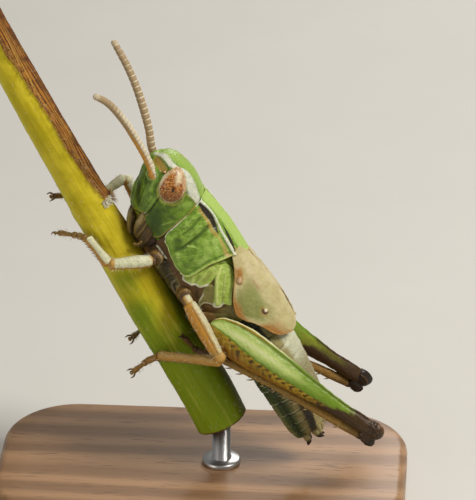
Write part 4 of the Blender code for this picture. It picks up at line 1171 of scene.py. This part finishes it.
def kneeEnd(near, far, size, wide, chalk=0.0):
    # a swelling on the end of a thigh, in line with it
    return limb(between(near, far, 0.86, 0.93, 0.99, 1.03), (size * 0.8, size, size * 0.95, size * 0.6),
                (wide * 0.8, wide, wide * 0.95, wide * 0.6), 30, 30, caps=(0.12, 0.16), lumps=0.006,
                lay=lambda at: dict(warm=0.45 + 0.4 * step(0.2, -0.7, at.up),
                                    dark=0.3 * step(0.2, -0.6, at.up),
                                    pale=chalk * step(0.0, 0.6, at.up)))


def makeShortLegs():
    horn = cuticle("legCuticle", (0.38, 0.225, 0.055), (0.48, 0.31, 0.1), (0.6, 0.6, 0.4),
                   (0.1, 0.055, 0.018), (0.5, 0.235, 0.03), (0.5, 0.46, 0.19), (0.215, 0.125, 0.028),
                   size=0.3, gloss=0.42, bump=0.014)
    for name, leg in shortLegs.items():
        fore = name.startswith("fore")
        sign = 1 if name.endswith("L") else -1
        thigh = np.array(leg["thigh"])
        # the coxa and the ring-like trochanter
        folded = lambda at: dict(deep=1.0, dark=0.55 + 0.35 * np.sin(at.share * 16),
                                 pale=0.33 * step(0.6, 1.0, np.sin(at.share * 16 + 2.4) + 0.4 * at.side))
        bodies = [limb(between(leg["coxa"], leg["hip"], -0.35, 0.3, 0.98), (0.46, 0.42, 0.3), None, 50, 40,
                       caps=(0.1, 0.15), lumps=0.035, lay=folded)]
        piece(name + "Coxa", bodies, horn, [nodeOf[name] + "coxa"])
        hip = between(leg["hip"], leg["knee"], -0.06, 0.01, 0.09)
        ring = np.array((0.22, 0.23, 0.17) if fore else (0.24, 0.28, 0.27))
        bodies = [limb(hip, ring, None, 36, 32, caps=(0.1, 0.1), lumps=0.012,
                       lay=lambda at: dict(warm=0.4, dark=0.8 if fore else 0.6 * step(0.3, -0.5, at.up),
                                           pale=0.1 if fore else 0.6 * step(-0.2, 0.6, at.up)
                                               * step(1.0, 0.6, at.share)))]
        if fore:
            lay = lambda at: dict(pale=step(-0.2, 0.15, at.up)
                                  * step(-0.06, 0.14, at.share - 0.05 * at.up ** 2),
                                  warm=0.9 * step(-0.05, -0.35, at.up))
        else:
            lay = lambda at: dict(pale=0.58 * step(0.52, 0.75, at.up) * step(0.98, 0.85, at.share)
                                  + 0.4 * step(-0.75, -0.95, at.up),
                                  warm=step(0.5, 0.25, at.up) * step(1.0, 0.7, at.share),
                                  deep=0.6 * step(0.15, -0.3, at.up),
                                  dark=0.65 * hill(at.up - 0.4, 0.1) * step(0.02, 0.1, at.share))
        bumps, _, ahead = alongRow(leg["hip"], leg["knee"], 7, thigh[1], -38 if sign < 0 else 218,
                                   first=0.18)
        dots = [] if fore else [mark([p, p + ahead * 0.04], 0.055, 0.03, side=sign, pale=0.6) for p in bumps]
        bodies.append(limb(between(leg["hip"], leg["knee"], 0.0 if fore else 0.05, 0.35, 0.68, 0.98), thigh,
                           thigh * 0.9, 110, 56, caps=(0.16, 0.1), lay=lay, marks=dots, seed=7))
        bodies.append(kneeEnd(leg["hip"], leg["knee"], thigh[3] + 0.05, thigh[3] + 0.01,
                              0.7 if name == "foreR" else 0.1))
        piece(name + "Femur", bodies, horn, [nodeOf[name] + "femur"])
        # shin with its rows of spines
        r = leg["shin"]
        if fore:
            lay = lambda at: dict(pale=1.0 * step(-0.3, 0.2, at.up), warm=0.8 * step(-0.1, -0.6, at.up))
        else:
            lay = lambda at: dict(pale=0.45 * step(0.3, 0.8, at.up) * step(0.5, 0.2, at.share),
                                  warm=0.5 * step(0.3, -0.3, at.up), deep=0.2 * step(0.3, 0.8, at.share))
        shin = between(leg["knee"], leg["ankle"], 0.0, 0.08, 0.5, 0.93, 1.03)
        bodies = [limb(shin, (r + 0.04, r + 0.05, r, r, r + 0.01),
                       (r + 0.03, r + 0.04, r * 0.95, r * 0.95, r), 90, 40, caps=(0.12, 0.14), lay=lay,
                       seed=9)]
        for turn in (-62, -118):
            bodies.append(spines(leg["knee"], leg["ankle"], 7, r, turn, 0.25, 0.93, 0.7, 0.34, 0.035, 5, 0.12,
                                 (0, 0.2, 0.9, 1), (0.5, 0.2, 0, 0)))
        for turn in (-60, -120):
            bodies.append(spines(leg["knee"], leg["ankle"], 1, r, turn, 0.985, 0.985, 0.5, 0.36, 0.045, 6))
        piece(name + "Tibia", bodies, horn, [nodeOf[name] + "tibia"])
        piece(name + "Foot", makeFoot(leg["ankle"], leg["sole"], leg["tip"], 0.2), horn,
              [nodeOf[name] + "tarsus"])
        for near, far, radius, many in (("hip", "knee", thigh[1] * 0.95, 90), ("knee", "ankle", r, 70),
                                        ("ankle", "tip", 0.17, 45)):
            hairRoots.append((leg[near], leg[far], radius, many))


# Hind legs: the thigh's section is a shield outwards, keeled above and below

hindLegs = dict(
    L=dict(coxa=(-1.5, 1.3, -3.65), base=(-1.6, 2.05, -3.58), knee=(-11.2, 2.95, -0.06),
           shinTop=(-11.1, 2.92, -0.72), ankle=(-3.25, 2.02, -4.52), sole=(-2.72, 1.52, -5.3),
           tip=(-1.72, 1.34, -5.46)),
    R=dict(coxa=(-1.5, -1.3, -3.65), base=(-1.6, -2.05, -3.43), knee=(-11.17, -4.18, -1.14),
           shinTop=(-11.05, -4.1, -1.84), ankle=(-3.2, -2.08, -4.85), sole=(-2.65, -1.6, -5.45),
           tip=(-1.65, -1.42, -5.58)))
thighShape = dict(
    # even steps from the hip to the knee: half height and half thickness
    heights=(0.5, 0.88, 1.04, 1.03, 0.94, 0.84, 0.71, 0.61, 0.52, 0.46, 0.49, 0.46),
    widths=(0.32, 0.46, 0.58, 0.64, 0.6, 0.53, 0.46, 0.4, 0.35, 0.32, 0.35, 0.32),
    section=((0.02, 1.0), (0.15, 0.95), (0.29, 0.86), (0.47, 0.83), (0.67, 0.68), (0.85, 0.44), (0.96, 0.2),
             (1.0, 0.0), (0.98, -0.25), (0.89, -0.5), (0.74, -0.68), (0.5, -0.84), (0.2, -0.95), (0.0, -1.0),
             (-0.2, -0.95), (-0.6, -0.72), (-0.88, -0.36), (-0.96, 0.0), (-0.84, 0.4), (-0.58, 0.74),
             (-0.2, 0.94)),
    # where the green field ends below, from the hip to the knee
    divide=(0.24, 0.1, -0.04, -0.14, -0.2, -0.24, -0.26, -0.26, -0.25),
    rows=330, cols=200, pitch=0.42)


def thighLook(w):
    # a weak tint is leaf green, a full one cream green; brown below
    soft = w.noise(0.45, 4, 0.6, (0.35, 1, 1))
    fine = w.noise(0.09, 2)
    ragged = (fine - 0.5) * 0.45 + (soft - 0.5) * 0.45
    colour = soft.over(0.35, 0.65).blend((0.245, 0.145, 0.004), (0.38, 0.245, 0.014))
    green = w.paint("tint")
    lime = (green + (soft - 0.5) * 0.3).over(0.5, 1.0).blend((0.145, 0.24, 0.014), (0.45, 0.54, 0.165))
    colour = (green + ragged * green).over(0.05, 0.42).blend(colour, lime)
    colour = w.marks(colour, ragged, 0.1, 0.9, deep=(0.06, 0.034, 0.003), warm=(0.26, 0.105, 0.006),
                     pale=(0.6, 0.6, 0.33), dark=(0.05, 0.024, 0.006))
    dots = (1 - w.cells(0.26).over(0.1, 0.22)) * green * 0.35
    colour = dots.blend(colour, (0.25, 0.17, 0.02))
    return colour, 0.28 + fine * 0.25, [(soft, 0.025), (w.cells(0.1, "SMOOTH_F1"), 0.01)]


def hindThigh(leg, sign):
    shape = thighShape
    section = np.array(shape["section"]) * (-sign, 1)
    profile = ringProfile(section, shape["cols"])
    grid, at = sweep(between(leg["base"], leg["knee"], 0, 0.33, 0.66, 1.0), shape["heights"], shape["widths"],
                     shape["rows"], shape["cols"], (0, 0, 1), profile, (0.45, 0.1))
    out, up, share, run = -sign * at.side, at.up, at.share, at.mm
    outer = step(0.08, 0.24, out)
    inner = step(0.05, 0.35, -out)
    lower = read(shape["divide"], share)
    # the fishbone: ridges that run back and away from a line along the middle of the lower field
    spine = lower - 0.26
    wave = run + 0.05 * ripple(grid, 0.5, 54)
    fish = np.sin((wave - np.abs(up - spine) * 0.75) / shape["pitch"] * 2 * math.pi)
    field = outer * step(0.06, -0.06, up - lower) * step(-0.8, -0.66, up) * span(share, 0.06, 0.14, 0.7, 0.86)
    fish = fish * field
    groove = hill(up - 0.88, 0.035) * step(0.0, 0.12, out) * span(share, 0.02, 0.08, 0.9, 0.97)
    rib = hill(up + 0.74, 0.05) * outer
    carina = hill(up - 0.99, 0.03)
    fold = hill(up - lower, 0.05) * outer
    lift = (0.022 * fish - 0.035 * groove + 0.02 * rib * span(share, 0.03, 0.12, 0.88, 0.97) + 0.02 * carina
            - 0.025 * fold * span(share, 0.03, 0.12, 0.88, 0.97))
    lift = lift + 0.014 * ripple(grid, 0.6, 51) + 0.006 * ripple(grid, 0.2, 52)
    grid = grid + normals(grid, True) * (lift * step(0, 0.04, share))[..., None]
    far = 0.2 if sign < 0 else 0.0  # the far thigh browns sooner
    brown = step(0.66, 0.84, share - 0.12 * up + 0.04 * ripple(grid, 0.5, 53) + far)
    band = step(-0.1, 0.14, up - lower + 0.05 * ripple(grid, 0.4, 55)) * outer * step(0.94, 0.86, up)
    # bright: the green band lighter towards the hip, with a painted highlight along its middle, up about 0.45
    bright = step(0.95, 0.3, share) * (0.3 + 0.7 * hill(up - 0.45, 0.3))
    ageing = step(0.45, 0.8, share + far)
    paint = dict(
        # pale: the carina, and a painted highlight along the middle of the band near the hip
        pale=0.8 * carina * step(0.62, 0.3, share + far) + 0.55 * band * hill(up - 0.46, 0.17)
            * span(share, 0.02, 0.14, 0.3, 0.66),
        dark=0.35 * groove + 0.3 * step(0.84, 0.95, up) * step(0.35, 0.6, share) + 0.98 * brown
            * (1 - 0.4 * step(0.1, 0.5, up) * step(0.95, 0.8, share)),
        tint=band * (0.45 + 0.55 * bright) * (1 - 0.25 * ageing) + 0.42 * step(0.86, 0.94, up)
            * step(0.2, 0.4, share) + inner * step(-0.15, 0.3, up) * 0.7 * (1 - 0.6 * ageing),
        deep=field * (0.62 * step(0.5, -0.6, fish) * step(-0.6, 0.5, ripple(grid, 0.45, 56)) + 0.15)
            + 0.5 * groove + 0.55 * inner * step(0.0, -0.5, up),
        warm=(0.85 * step(-0.66, -0.9, up) + 0.6 * field * step(-0.3, -0.55, up - lower)) * (1 - 0.5 * brown))
    return loft(grid, paint)


def hindKnee(leg, sign):
    # a blunt hood, with a crescent and a rounded lobe on either side
    far, axes = np.array(leg["knee"]), frameOf(leg["base"], leg["knee"])
    hood = limb(offsets(far, axes, (-0.42, 0, 0.02), (0, 0, 0.04), (0.34, 0, -0.02), (0.6, 0, -0.14)),
                (0.42, 0.5, 0.48, 0.34), (0.3, 0.34, 0.31, 0.2), 70, 60, caps=(0.2, 0.28), lumps=0.016,
                lay=lambda at: dict(warm=0.5 * step(0.72, 0.95, at.up) * step(0.2, 0.5, at.share),
                                    dark=0.25 + 0.6 * (sign < 0)))
    bodies = [hood]
    for turn in (1, -1):
        crest = offsets(far, axes, (-0.34, turn * 0.25, 0.26), (0, turn * 0.3, 0.28),
                        (0.3, turn * 0.27, 0.12), (0.46, turn * 0.2, -0.12))
        bodies.append(limb(crest, (0.07, 0.09, 0.09, 0.05), (0.05, 0.06, 0.06, 0.05), 36, 18,
                           caps=(0.08, 0.08), lumps=0.003, lay=lambda at: dict(warm=0.1)))
        lobe = offsets(far, axes, (-0.44, turn * 0.2, -0.3), (-0.1, turn * 0.25, -0.44),
                       (0.22, turn * 0.25, -0.5), (0.5, turn * 0.2, -0.4))
        brown = lambda at: dict(dark=0.3 + 0.4 * np.maximum(step(0.3, 0.9, at.share), sign < 0))
        bodies.append(limb(lobe, (0.15, 0.27, 0.28, 0.17), (0.06, 0.08, 0.08, 0.05), 50, 32,
                           caps=(0.14, 0.14), lumps=0.012, lay=brown))
    return bodies


def hindShin(leg):
    # a rod with a bent head, spines in two rows and four spurs
    top, ankle = np.array(leg["shinTop"]), np.array(leg["ankle"])
    ahead, _, rise = frameOf(leg["base"], leg["knee"])
    shinPath = [top + rise * 0.3 + ahead * 0.05, top, *between(top, ankle, 0.05, 0.3, 0.65, 0.95, 1.02)]
    shinPath = np.array(shinPath) + rise * np.array((0, 0, 0.02, 0.08, 0.08, 0.02, 0))[:, None]
    lay = lambda at: dict(deep=0.6 * step(0.3, 0.04, at.share),
                          dark=0.8 * step(0.07, 0.03, at.share) + 0.5 * step(0.93, 0.99, at.share),
                          pale=0.25 * hill(at.share - 0.13, 0.04), tint=0.3 * step(0.2, 0.6, at.share))
    shin = limb(shinPath, (0.2, 0.26, 0.22, 0.185, 0.185, 0.21, 0.24),
                (0.18, 0.23, 0.2, 0.17, 0.17, 0.2, 0.23), 200, 44, caps=(0.12, 0.12), seed=13, lay=lay)
    bodies = [shin]
    for turn in (-50, -130):
        bodies.append(spines(top, ankle, 12, 0.2, turn, 0.14, 0.95, 0.75, 0.42, 0.048, 6, 0.15,
                             (0, 0.1, 0.9, 1), (0.7, 0.4, 0, 0)))
    for turn, size in ((-40, 0.4), (-140, 0.4), (20, 0.3), (160, 0.3)):
        bodies.append(spines(top, ankle, 1, 0.21, turn, 0.985, 0.985, 0.5, size, 0.055, 6,
                             dark=(0, 0.2, 0.9, 1)))
    return bodies


def makeHindLegs():
    thighSkin = finish("thighCuticle", thighLook, **skinDepth)
    kneeSkin = cuticle("kneeCuticle", (0.032, 0.015, 0.004), (0.072, 0.036, 0.01), (0.5, 0.42, 0.22),
                       (0.016, 0.009, 0.004), (0.2, 0.075, 0.022), (0.1, 0.06, 0.02), size=0.25, gloss=0.36)
    shinSkin = cuticle("shinCuticle", (0.25, 0.13, 0.02), (0.33, 0.19, 0.04), (0.55, 0.46, 0.24),
                       (0.035, 0.018, 0.008), (0.36, 0.15, 0.03), (0.3, 0.24, 0.06), (0.13, 0.07, 0.015),
                       size=0.3, gloss=0.4)
    for tag, leg in hindLegs.items():
        sign, node = (1 if tag == "L" else -1), "hindleg_" + tag + "_"
        piece("hindThigh" + tag, [hindThigh(leg, sign)], thighSkin, [node + "femur"])
        hip = limb(between(leg["coxa"], leg["base"], -0.3, 0.2, 0.85), (0.56, 0.56, 0.44), None, 40, 36,
                   caps=(0.1, 0.2), lumps=0.02,
                   lay=lambda at: dict(deep=0.6, dark=0.5 * step(0.7, 1, at.share)))
        piece("hindCoxa" + tag, [hip], shinSkin, [node + "coxa"])
        piece("hindKnee" + tag, hindKnee(leg, sign), kneeSkin, [node + "knee"])
        piece("hindTibia" + tag, hindShin(leg), shinSkin, [node + "tibia"])
        piece("hindFoot" + tag, makeFoot(leg["ankle"], leg["sole"], leg["tip"], 0.21), shinSkin,
              [node + "tarsus"])
        hairRoots.append((leg["shinTop"], leg["ankle"], 0.2, 120))


def makeLegHairs():
    # short fine hairs all round the limbs, each leaning towards the foot
    rng = np.random.default_rng(5)
    roots, aims, lengths, patches = [], [], [], []
    for i, (near, far, radius, many) in enumerate(hairRoots):
        near, far = np.asarray(near, float), np.asarray(far, float)
        share, turn = rng.uniform(0.06, 0.97, many), rng.uniform(0, 2 * math.pi, many)
        ahead, side, rise = frameOf(near, far)
        out = np.cos(turn)[:, None] * side + np.sin(turn)[:, None] * rise
        roots.append(near + (far - near) * share[:, None] + out * radius * 0.86)
        aims.append(out * 0.9 + ahead * 0.8 + rng.normal(size=(many, 3)) * 0.15)
        lengths.append(rng.uniform(0.14, 0.3, many))
        patches.append(np.stack([(i % 4 + share) / 4, (i // 4 + turn / 6.3) / 4], -1) * 0.98)
    pale = finish("hairHorn",
                  lambda w: (w.noise(0.3, 2).blend((0.62, 0.55, 0.4), (0.8, 0.76, 0.62)), 0.4, []))
    coat = spikes(np.concatenate(roots), np.concatenate(aims), np.concatenate(lengths), 0.01, sides=3,
                  steps=2, patch=np.concatenate(patches))
    piece("legHairs", [coat], pale)


# Perch and stand, in the world's frame, measured from the hind tip of the pronotum

perch = dict(
    stations=((-13.87, 13.15, 0.9), (-12.31, 10.04, 0.92), (-9.37, 4.32, 1.0), (-7.54, 0.93, 1.12),
              (-5.22, -3.2, 1.32), (-3.38, -6.4, 1.4), (-2.11, -8.75, 1.42), (-1.45, -10.2, 1.42)),
    rows=540, cols=180, ribs=17,
    # the node's share of the length, and the angle of the dry sheath's edge at the top, the node and the foot
    node=0.372, border=(0.25, 0.95, 1.2))
stand = dict(length=22.0, width=13.0, corner=4.0, sharpest=0.35, middle=0.565,
             # the block's height and inset of each outline, then the rod's height and radius of each ring
             insets=((0, 0.45), (0.03, 0.25), (0.12, 0.1), (0.28, 0.02), (0.45, 0.0), (1.25, 0.0),
                     (1.45, 0.04), (1.62, 0.15), (1.75, 0.32), (1.8, 0.5), (1.8, 1.6), (1.8, 3.6)),
             rod=((1.78, 0.98), (1.8, 1.02), (2.02, 1.02), (2.1, 0.94), (2.12, 0.6), (2.14, 0.5)),
             rodInStem=0.8)


def stemGrid():
    # circles along a curve in the world's xz plane; turn 0 faces -y and a quarter turn faces up
    x, z, r = smooth(perch["stations"], perch["rows"]).T
    centre = np.stack([x, 0 * x, z], -1) + pose["hindTip"]
    ahead = unit(np.gradient(centre, axis=0))
    turn = turns(perch["cols"])
    up = np.cross(ahead, (0, -1.0, 0))
    up = up * np.sign(up[:, 2:])
    ring = np.cos(turn)[:, None] * np.array([0, -1.0, 0]) + np.sin(turn)[:, None] * up[:, None]
    return centre, ring, turn, r


def makeStem():
    centre, ring, turn, r = stemGrid()
    share = np.linspace(0, 1, perch["rows"])[:, None]
    wander = turn + 0.06 * np.sin(share * 9)
    ribs = np.abs(np.sin(wander * perch["ribs"] / 2)) ** 0.7 - 0.6
    around = np.angle(np.exp(1j * turn))[None, :]
    node = perch["node"]
    nearNode = hill(share - node, 0.018)
    grid = centre[:, None] + ring * r[:, None, None]
    # the dry sheath: a strip along the upper side whose edge runs round towards the node
    border = (np.interp(share, (0, node, 1), perch["border"]) + 0.06 * np.sin(share * 40)
              + 0.03 * np.sin(share * 95))
    above = step(node + 0.012, node - 0.012, share)
    strip = step(-0.1, 0.06, around - border) * step(2.9, 2.6, around) * above
    fibre = np.sin(turn * 38 + 6 * ripple(grid * (0.35, 1, 0.35), 1.2, 61)) * strip
    lift = (0.014 * ribs + 0.035 * hill(around - border, 0.05) * above + 0.05 * nearNode
            + 0.02 * ripple(grid, 2.2, 62) + 0.006 * ripple(grid, 0.4, 63) + 0.02 * fibre + 0.09 * strip)
    grid = grid + ring * lift[..., None]
    below = step(node - 0.01, node + 0.05, share)
    wave = 0.05 * ripple(grid, 3.0, 65)
    # upper: the stem's upper side, painted darker below the node as shade
    upper = span(around, 0.5, 1.6, 2.2, 3.1)
    # pale down the margin at turn -0.95 is a painted highlight; warm, tint and deep on the upper side below
    # the node are painted shade
    paint = dict(
        pale=0.55 * hill(around + 0.95, 0.4) * step(0.8, 0.45, share + wave)
            + 0.7 * hill(share - node, 0.012) * span(around, 0.5, 0.9, 1.3, 1.6),
        dark=strip * step(-0.8, 0.3, fibre + 0.6 * ripple(grid, 0.6, 64)
                          + 1.2 * step(0.2, 0.9, around - border) - 0.7)
            + 0.8 * step(0.985, 1, share) + 0.8 * step(0.015, 0, share)
            + 0.6 * nearNode * span(around, 1.45, 1.65, 2.2, 2.6),
        warm=strip * 0.95 + 0.55 * span(around, 0.75, 1.5, 2.5, 3.0) * below * step(0.7, 0.45, share + wave),
        tint=0.95 * step(0.42, 0.68, share + wave - 0.06 * np.sin(around))
            + 0.5 * upper * step(0.42, 0.6, share),
        deep=0.75 * upper * step(0.42, 0.65, share))

    def look(w):
        soft = w.noise(1.2, 4, 0.55)
        fine = w.noise(0.12, 2)
        streak = w.noise(0.2, 3.0, 0.6, place=w.mapped((1, 1, 18), (0, math.radians(-28), 0), "TEXTURE"))
        colour = soft.over(0.35, 0.65).blend((0.46, 0.37, 0.004), (0.6, 0.485, 0.018))
        for name, tone in dict(tint=(0.195, 0.275, 0.002), deep=(0.085, 0.1, 0.001), pale=(0.6, 0.56, 0.06),
                               warm=(0.36, 0.15, 0.02), dark=(0.095, 0.028, 0.006)).items():
            colour = (w.paint(name) * (0.7 + streak * 0.6)).over(0.2, 0.85).blend(colour, tone)
        colour = (streak.over(0.52, 0.72) * 0.25).blend(colour, (0.21, 0.16, 0.002))
        colour = (streak.over(0.46, 0.3) * 0.22).blend(colour, (0.66, 0.58, 0.12))
        return colour, 0.52 + fine * 0.2, [(streak, 0.03), (fine, 0.008)]

    skin = finish("stemRind", look, Subsurface_Weight=0.1, Subsurface_Radius=(0.8, 0.9, 0.2),
                  Subsurface_Scale=0.0005, Specular_IOR_Level=0.25)
    points = loft(grid, {key: np.broadcast_to(value, grid.shape[:2]) for key, value in paint.items()})
    points["points"] = points["points"] * mm
    piece("plantStem", [points], skin, ["perch_stem"], inBody=False)
    makeStemHairs(grid, ring, centre)


def makeStemHairs(grid, ring, centre):
    # fibres torn from the sheath, two tufts at the node and sparse hairs, each with its reach along and round
    # the stem, greatest length, radius, lean and brownness
    node, rng, hairs = perch["node"], np.random.default_rng(8), []
    ahead = unit(np.gradient(centre, axis=0))
    for many, low, high, around, longest, radius, lean, brown in (
            (420, 0.02, node, (-0.05, 0.25), 0.45, 0.018, 0.9, 0.8),
            (170, node - 0.007, node + 0.007, (0.85, 1.4), 0.3, 0.026, 0.7, 0),
            (50, node - 0.006, node + 0.01, (1.45, 1.9), 0.48, 0.03, 0.9, 1),
            (420, 0.02, 0.97, (-1.6, 3.6), 0.3, 0.007, 0.3, 0)):
        s, t = rng.uniform(low, high, many), rng.uniform(*around, many)
        if brown == 0.8:
            t = t + np.interp(s, (0, node), perch["border"][:2])  # along the sheath's edge
        row = (s * (perch["rows"] - 1)).astype(int)
        col = (t / (2 * math.pi) * perch["cols"]).astype(int) % perch["cols"]
        out = ring[row, col]
        aims = out + ahead[row] * lean * rng.choice([-1, 1], many)[:, None]
        aims = aims + rng.normal(size=(many, 3)) * 0.35
        hairs.append((grid[row, col] - out * 0.02, aims, rng.uniform(0.3, 1, many) * longest,
                      np.full(many, radius), np.stack([t / 6.3 % 1, s], -1) * 0.99,
                      np.full(many, float(brown))))
    roots, aims, lengths, radii, patches, brown = (np.concatenate(column) for column in zip(*hairs))
    coat = spikes(roots, aims, lengths, radii, curl=(0.1, 0, -0.25), patch=patches)
    each = len(coat["points"]) // len(roots)
    coat["paint"].update(dark=np.repeat(brown, each), warm=np.repeat(np.sign(brown), each))
    coat["points"] = coat["points"] * mm

    def look(w):
        tone = w.paint("warm").blend((0.8, 0.76, 0.6), (0.6, 0.36, 0.11))
        return (w.paint("dark") * w.noise(0.5, 2).over(0.35, 0.65)).blend(tone, (0.16, 0.06, 0.015)), 0.5, []

    piece("stemHairs", [coat], finish("stemFluff", look), inBody=False)


def makeStand():
    # a rounded block: outlines of straight sides and quarter circles, drawn in towards its edges
    insets = np.array(stand["insets"])
    quarter, within = np.divmod(np.arange(160), 40)
    angle = quarter * math.pi / 2 + within / 39 * math.pi / 2
    sx, sy = np.array([1, -1, -1, 1])[quarter], np.array([1, 1, -1, -1])[quarter]
    run, spread = stand["length"] / 2 - stand["corner"], stand["width"] / 2 - stand["corner"]
    reach = stand["corner"] - insets[:, 1:]
    bend, past = np.maximum(reach, stand["sharpest"]), np.maximum(stand["sharpest"] - reach, 0)
    x = stand["middle"] + sx * run + bend * np.cos(angle) - sx * past
    y = sy * spread + bend * np.sin(angle) - sy * past
    block = loft(np.stack([x, y, insets[:, :1] + 0 * x], -1) * mm)

    def grainLook(w):
        long = w.mapped((0.1, 1, 1), (0.5, 0, 0.08))
        warp, pores = w.noise(3.0, 3.0, 0.5, place=long), w.noise(0.18, 2.0, 0.7, place=long)
        rings = w.node("TexWave", dict(bands_direction="Z"),
                       {"Vector": long, "Scale": 1 / (3.2 * mm), "Distortion": 6.0, "Detail": 2.0,
                        "Detail Scale": 0.6}, 1)
        colour = (rings * 0.7 + warp * 0.3).over(0.2, 0.9).blend((0.22, 0.115, 0.05), (0.36, 0.2, 0.095))
        colour = (pores.over(0.56, 0.7) * 0.6).blend(colour, (0.12, 0.06, 0.026))
        return colour, 0.42 + pores * 0.15, [(pores, 0.02), (rings, 0.02)]

    wood = finish("standWood", grainLook, Coat_Weight=0.25, Coat_Roughness=0.25)
    piece("standBlock", [block], wood, ["stand_base"], inBody=False)
    foot = np.array(pose["hindTip"]) + (perch["stations"][-1][0], 0, perch["stations"][-1][1])
    z, r = np.array([*stand["rod"], (foot[2] + stand["rodInStem"], stand["rod"][-1][1])]).T[..., None]
    turn = turns(96)
    rod = np.stack([foot[0] + r * np.cos(turn), r * np.sin(turn), z + 0 * turn], -1)

    def steelLook(w):
        brushed = w.noise(0.05, 2.0, 0.6, place=w.mapped((1, 1, 0.04)))
        return brushed.blend((0.5, 0.5, 0.51), (0.62, 0.62, 0.63)), 0.24 + brushed * 0.16, [(brushed, 0.003)]

    steel = finish("standSteel", steelLook, Metallic=1.0)
    piece("standRod", [loft(rod * mm)], steel, ["stand_rod"], inBody=False)


makeShortLegs()
makeHindLegs()
makeLegHairs()
print("legs made")
makeStem()
makeStand()
print("stem and stand made")

# Camera, light and floor

view = dict(elevation=25.71, azimuth=4.05, distance=200.0, millimetresWide=24.91, aside=-0.56, above=-0.084)


def makeCamera():
    # looks at the hind tip of the pronotum from the animal's left, set aside so that the whole pose fits
    e, a = math.radians(view["elevation"]), math.radians(view["azimuth"])
    back = Vector((math.sin(a) * math.cos(e), -math.cos(a) * math.cos(e), math.sin(e)))
    right = Vector((math.cos(a), math.sin(a), 0))
    up = back.cross(right)
    data = bpy.data.cameras.new("camera")
    data.sensor_fit, data.sensor_width = "HORIZONTAL", 36
    data.lens = 36 * view["distance"] / view["millimetresWide"]
    data.clip_start, data.clip_end = 0.01, 10
    made = bpy.data.objects.new("camera", data)
    bpy.context.scene.collection.objects.link(made)
    place = Vector(pose["hindTip"]) + right * view["aside"] + up * view["above"] + back * view["distance"]
    made.matrix_world = Matrix.Translation(place * mm) @ Matrix((right, up, back)).transposed().to_4x4()
    bpy.context.scene.camera = made


def makeLight(name, place, size, power, colour):
    data = bpy.data.lights.new(name, "AREA")
    data.shape, data.size, data.energy, data.color = "DISK", size * mm, power, colour
    made = bpy.data.objects.new(name, data)
    bpy.context.scene.collection.objects.link(made)
    made.location = Vector(place) * mm
    made.rotation_euler = (Vector(place) - Vector(studio["aim"])).to_track_quat("Z", "Y").to_euler()


# each light's place in mm, size in mm, power in W and colour
studio = dict(aim=(-1, 0, 15), keySoftbox=((95, -40, 135), 60, 0.25, (1.0, 0.96, 0.9)),
              fillSoftbox=((-120, -110, 60), 120, 0.055, (1.0, 0.97, 0.89)),
              rimSoftbox=((30, 130, 90), 70, 0.07, (1.0, 0.97, 0.92)),
              sky=(0.96, 0.95, 0.89), skyStrength=0.24, floorReach=1.5, floorGap=0.02)


def makeStudio():
    for name in ("keySoftbox", "fillSoftbox", "rimSoftbox"):
        makeLight(name, *studio[name])
    world = bpy.data.worlds.new("studio")
    bpy.context.scene.world = world
    world.use_nodes = True
    sky = world.node_tree.nodes["Background"]
    sky.inputs["Color"].default_value = (*studio["sky"], 1)
    sky.inputs["Strength"].default_value = studio["skyStrength"]
    floor = bpy.data.meshes.new("floor")
    reach = studio["floorReach"]
    floor.from_pydata([(-reach, -reach, 0), (reach, -reach, 0), (reach, reach, 0), (-reach, reach, 0)], [],
                      [(0, 1, 2, 3)])
    made = bpy.data.objects.new("floor", floor)
    made.location.z = -studio["floorGap"] * mm
    bpy.context.scene.collection.objects.link(made)
    paper = lambda w: (w.noise(8, 3).blend((0.6, 0.585, 0.55), (0.64, 0.625, 0.59)), 0.8, [])
    floor.materials.append(finish("floorPaper", paper))
    bpy.context.scene.view_settings.view_transform = "Standard"


makeCamera()
makeStudio()
print("camera and studio made")
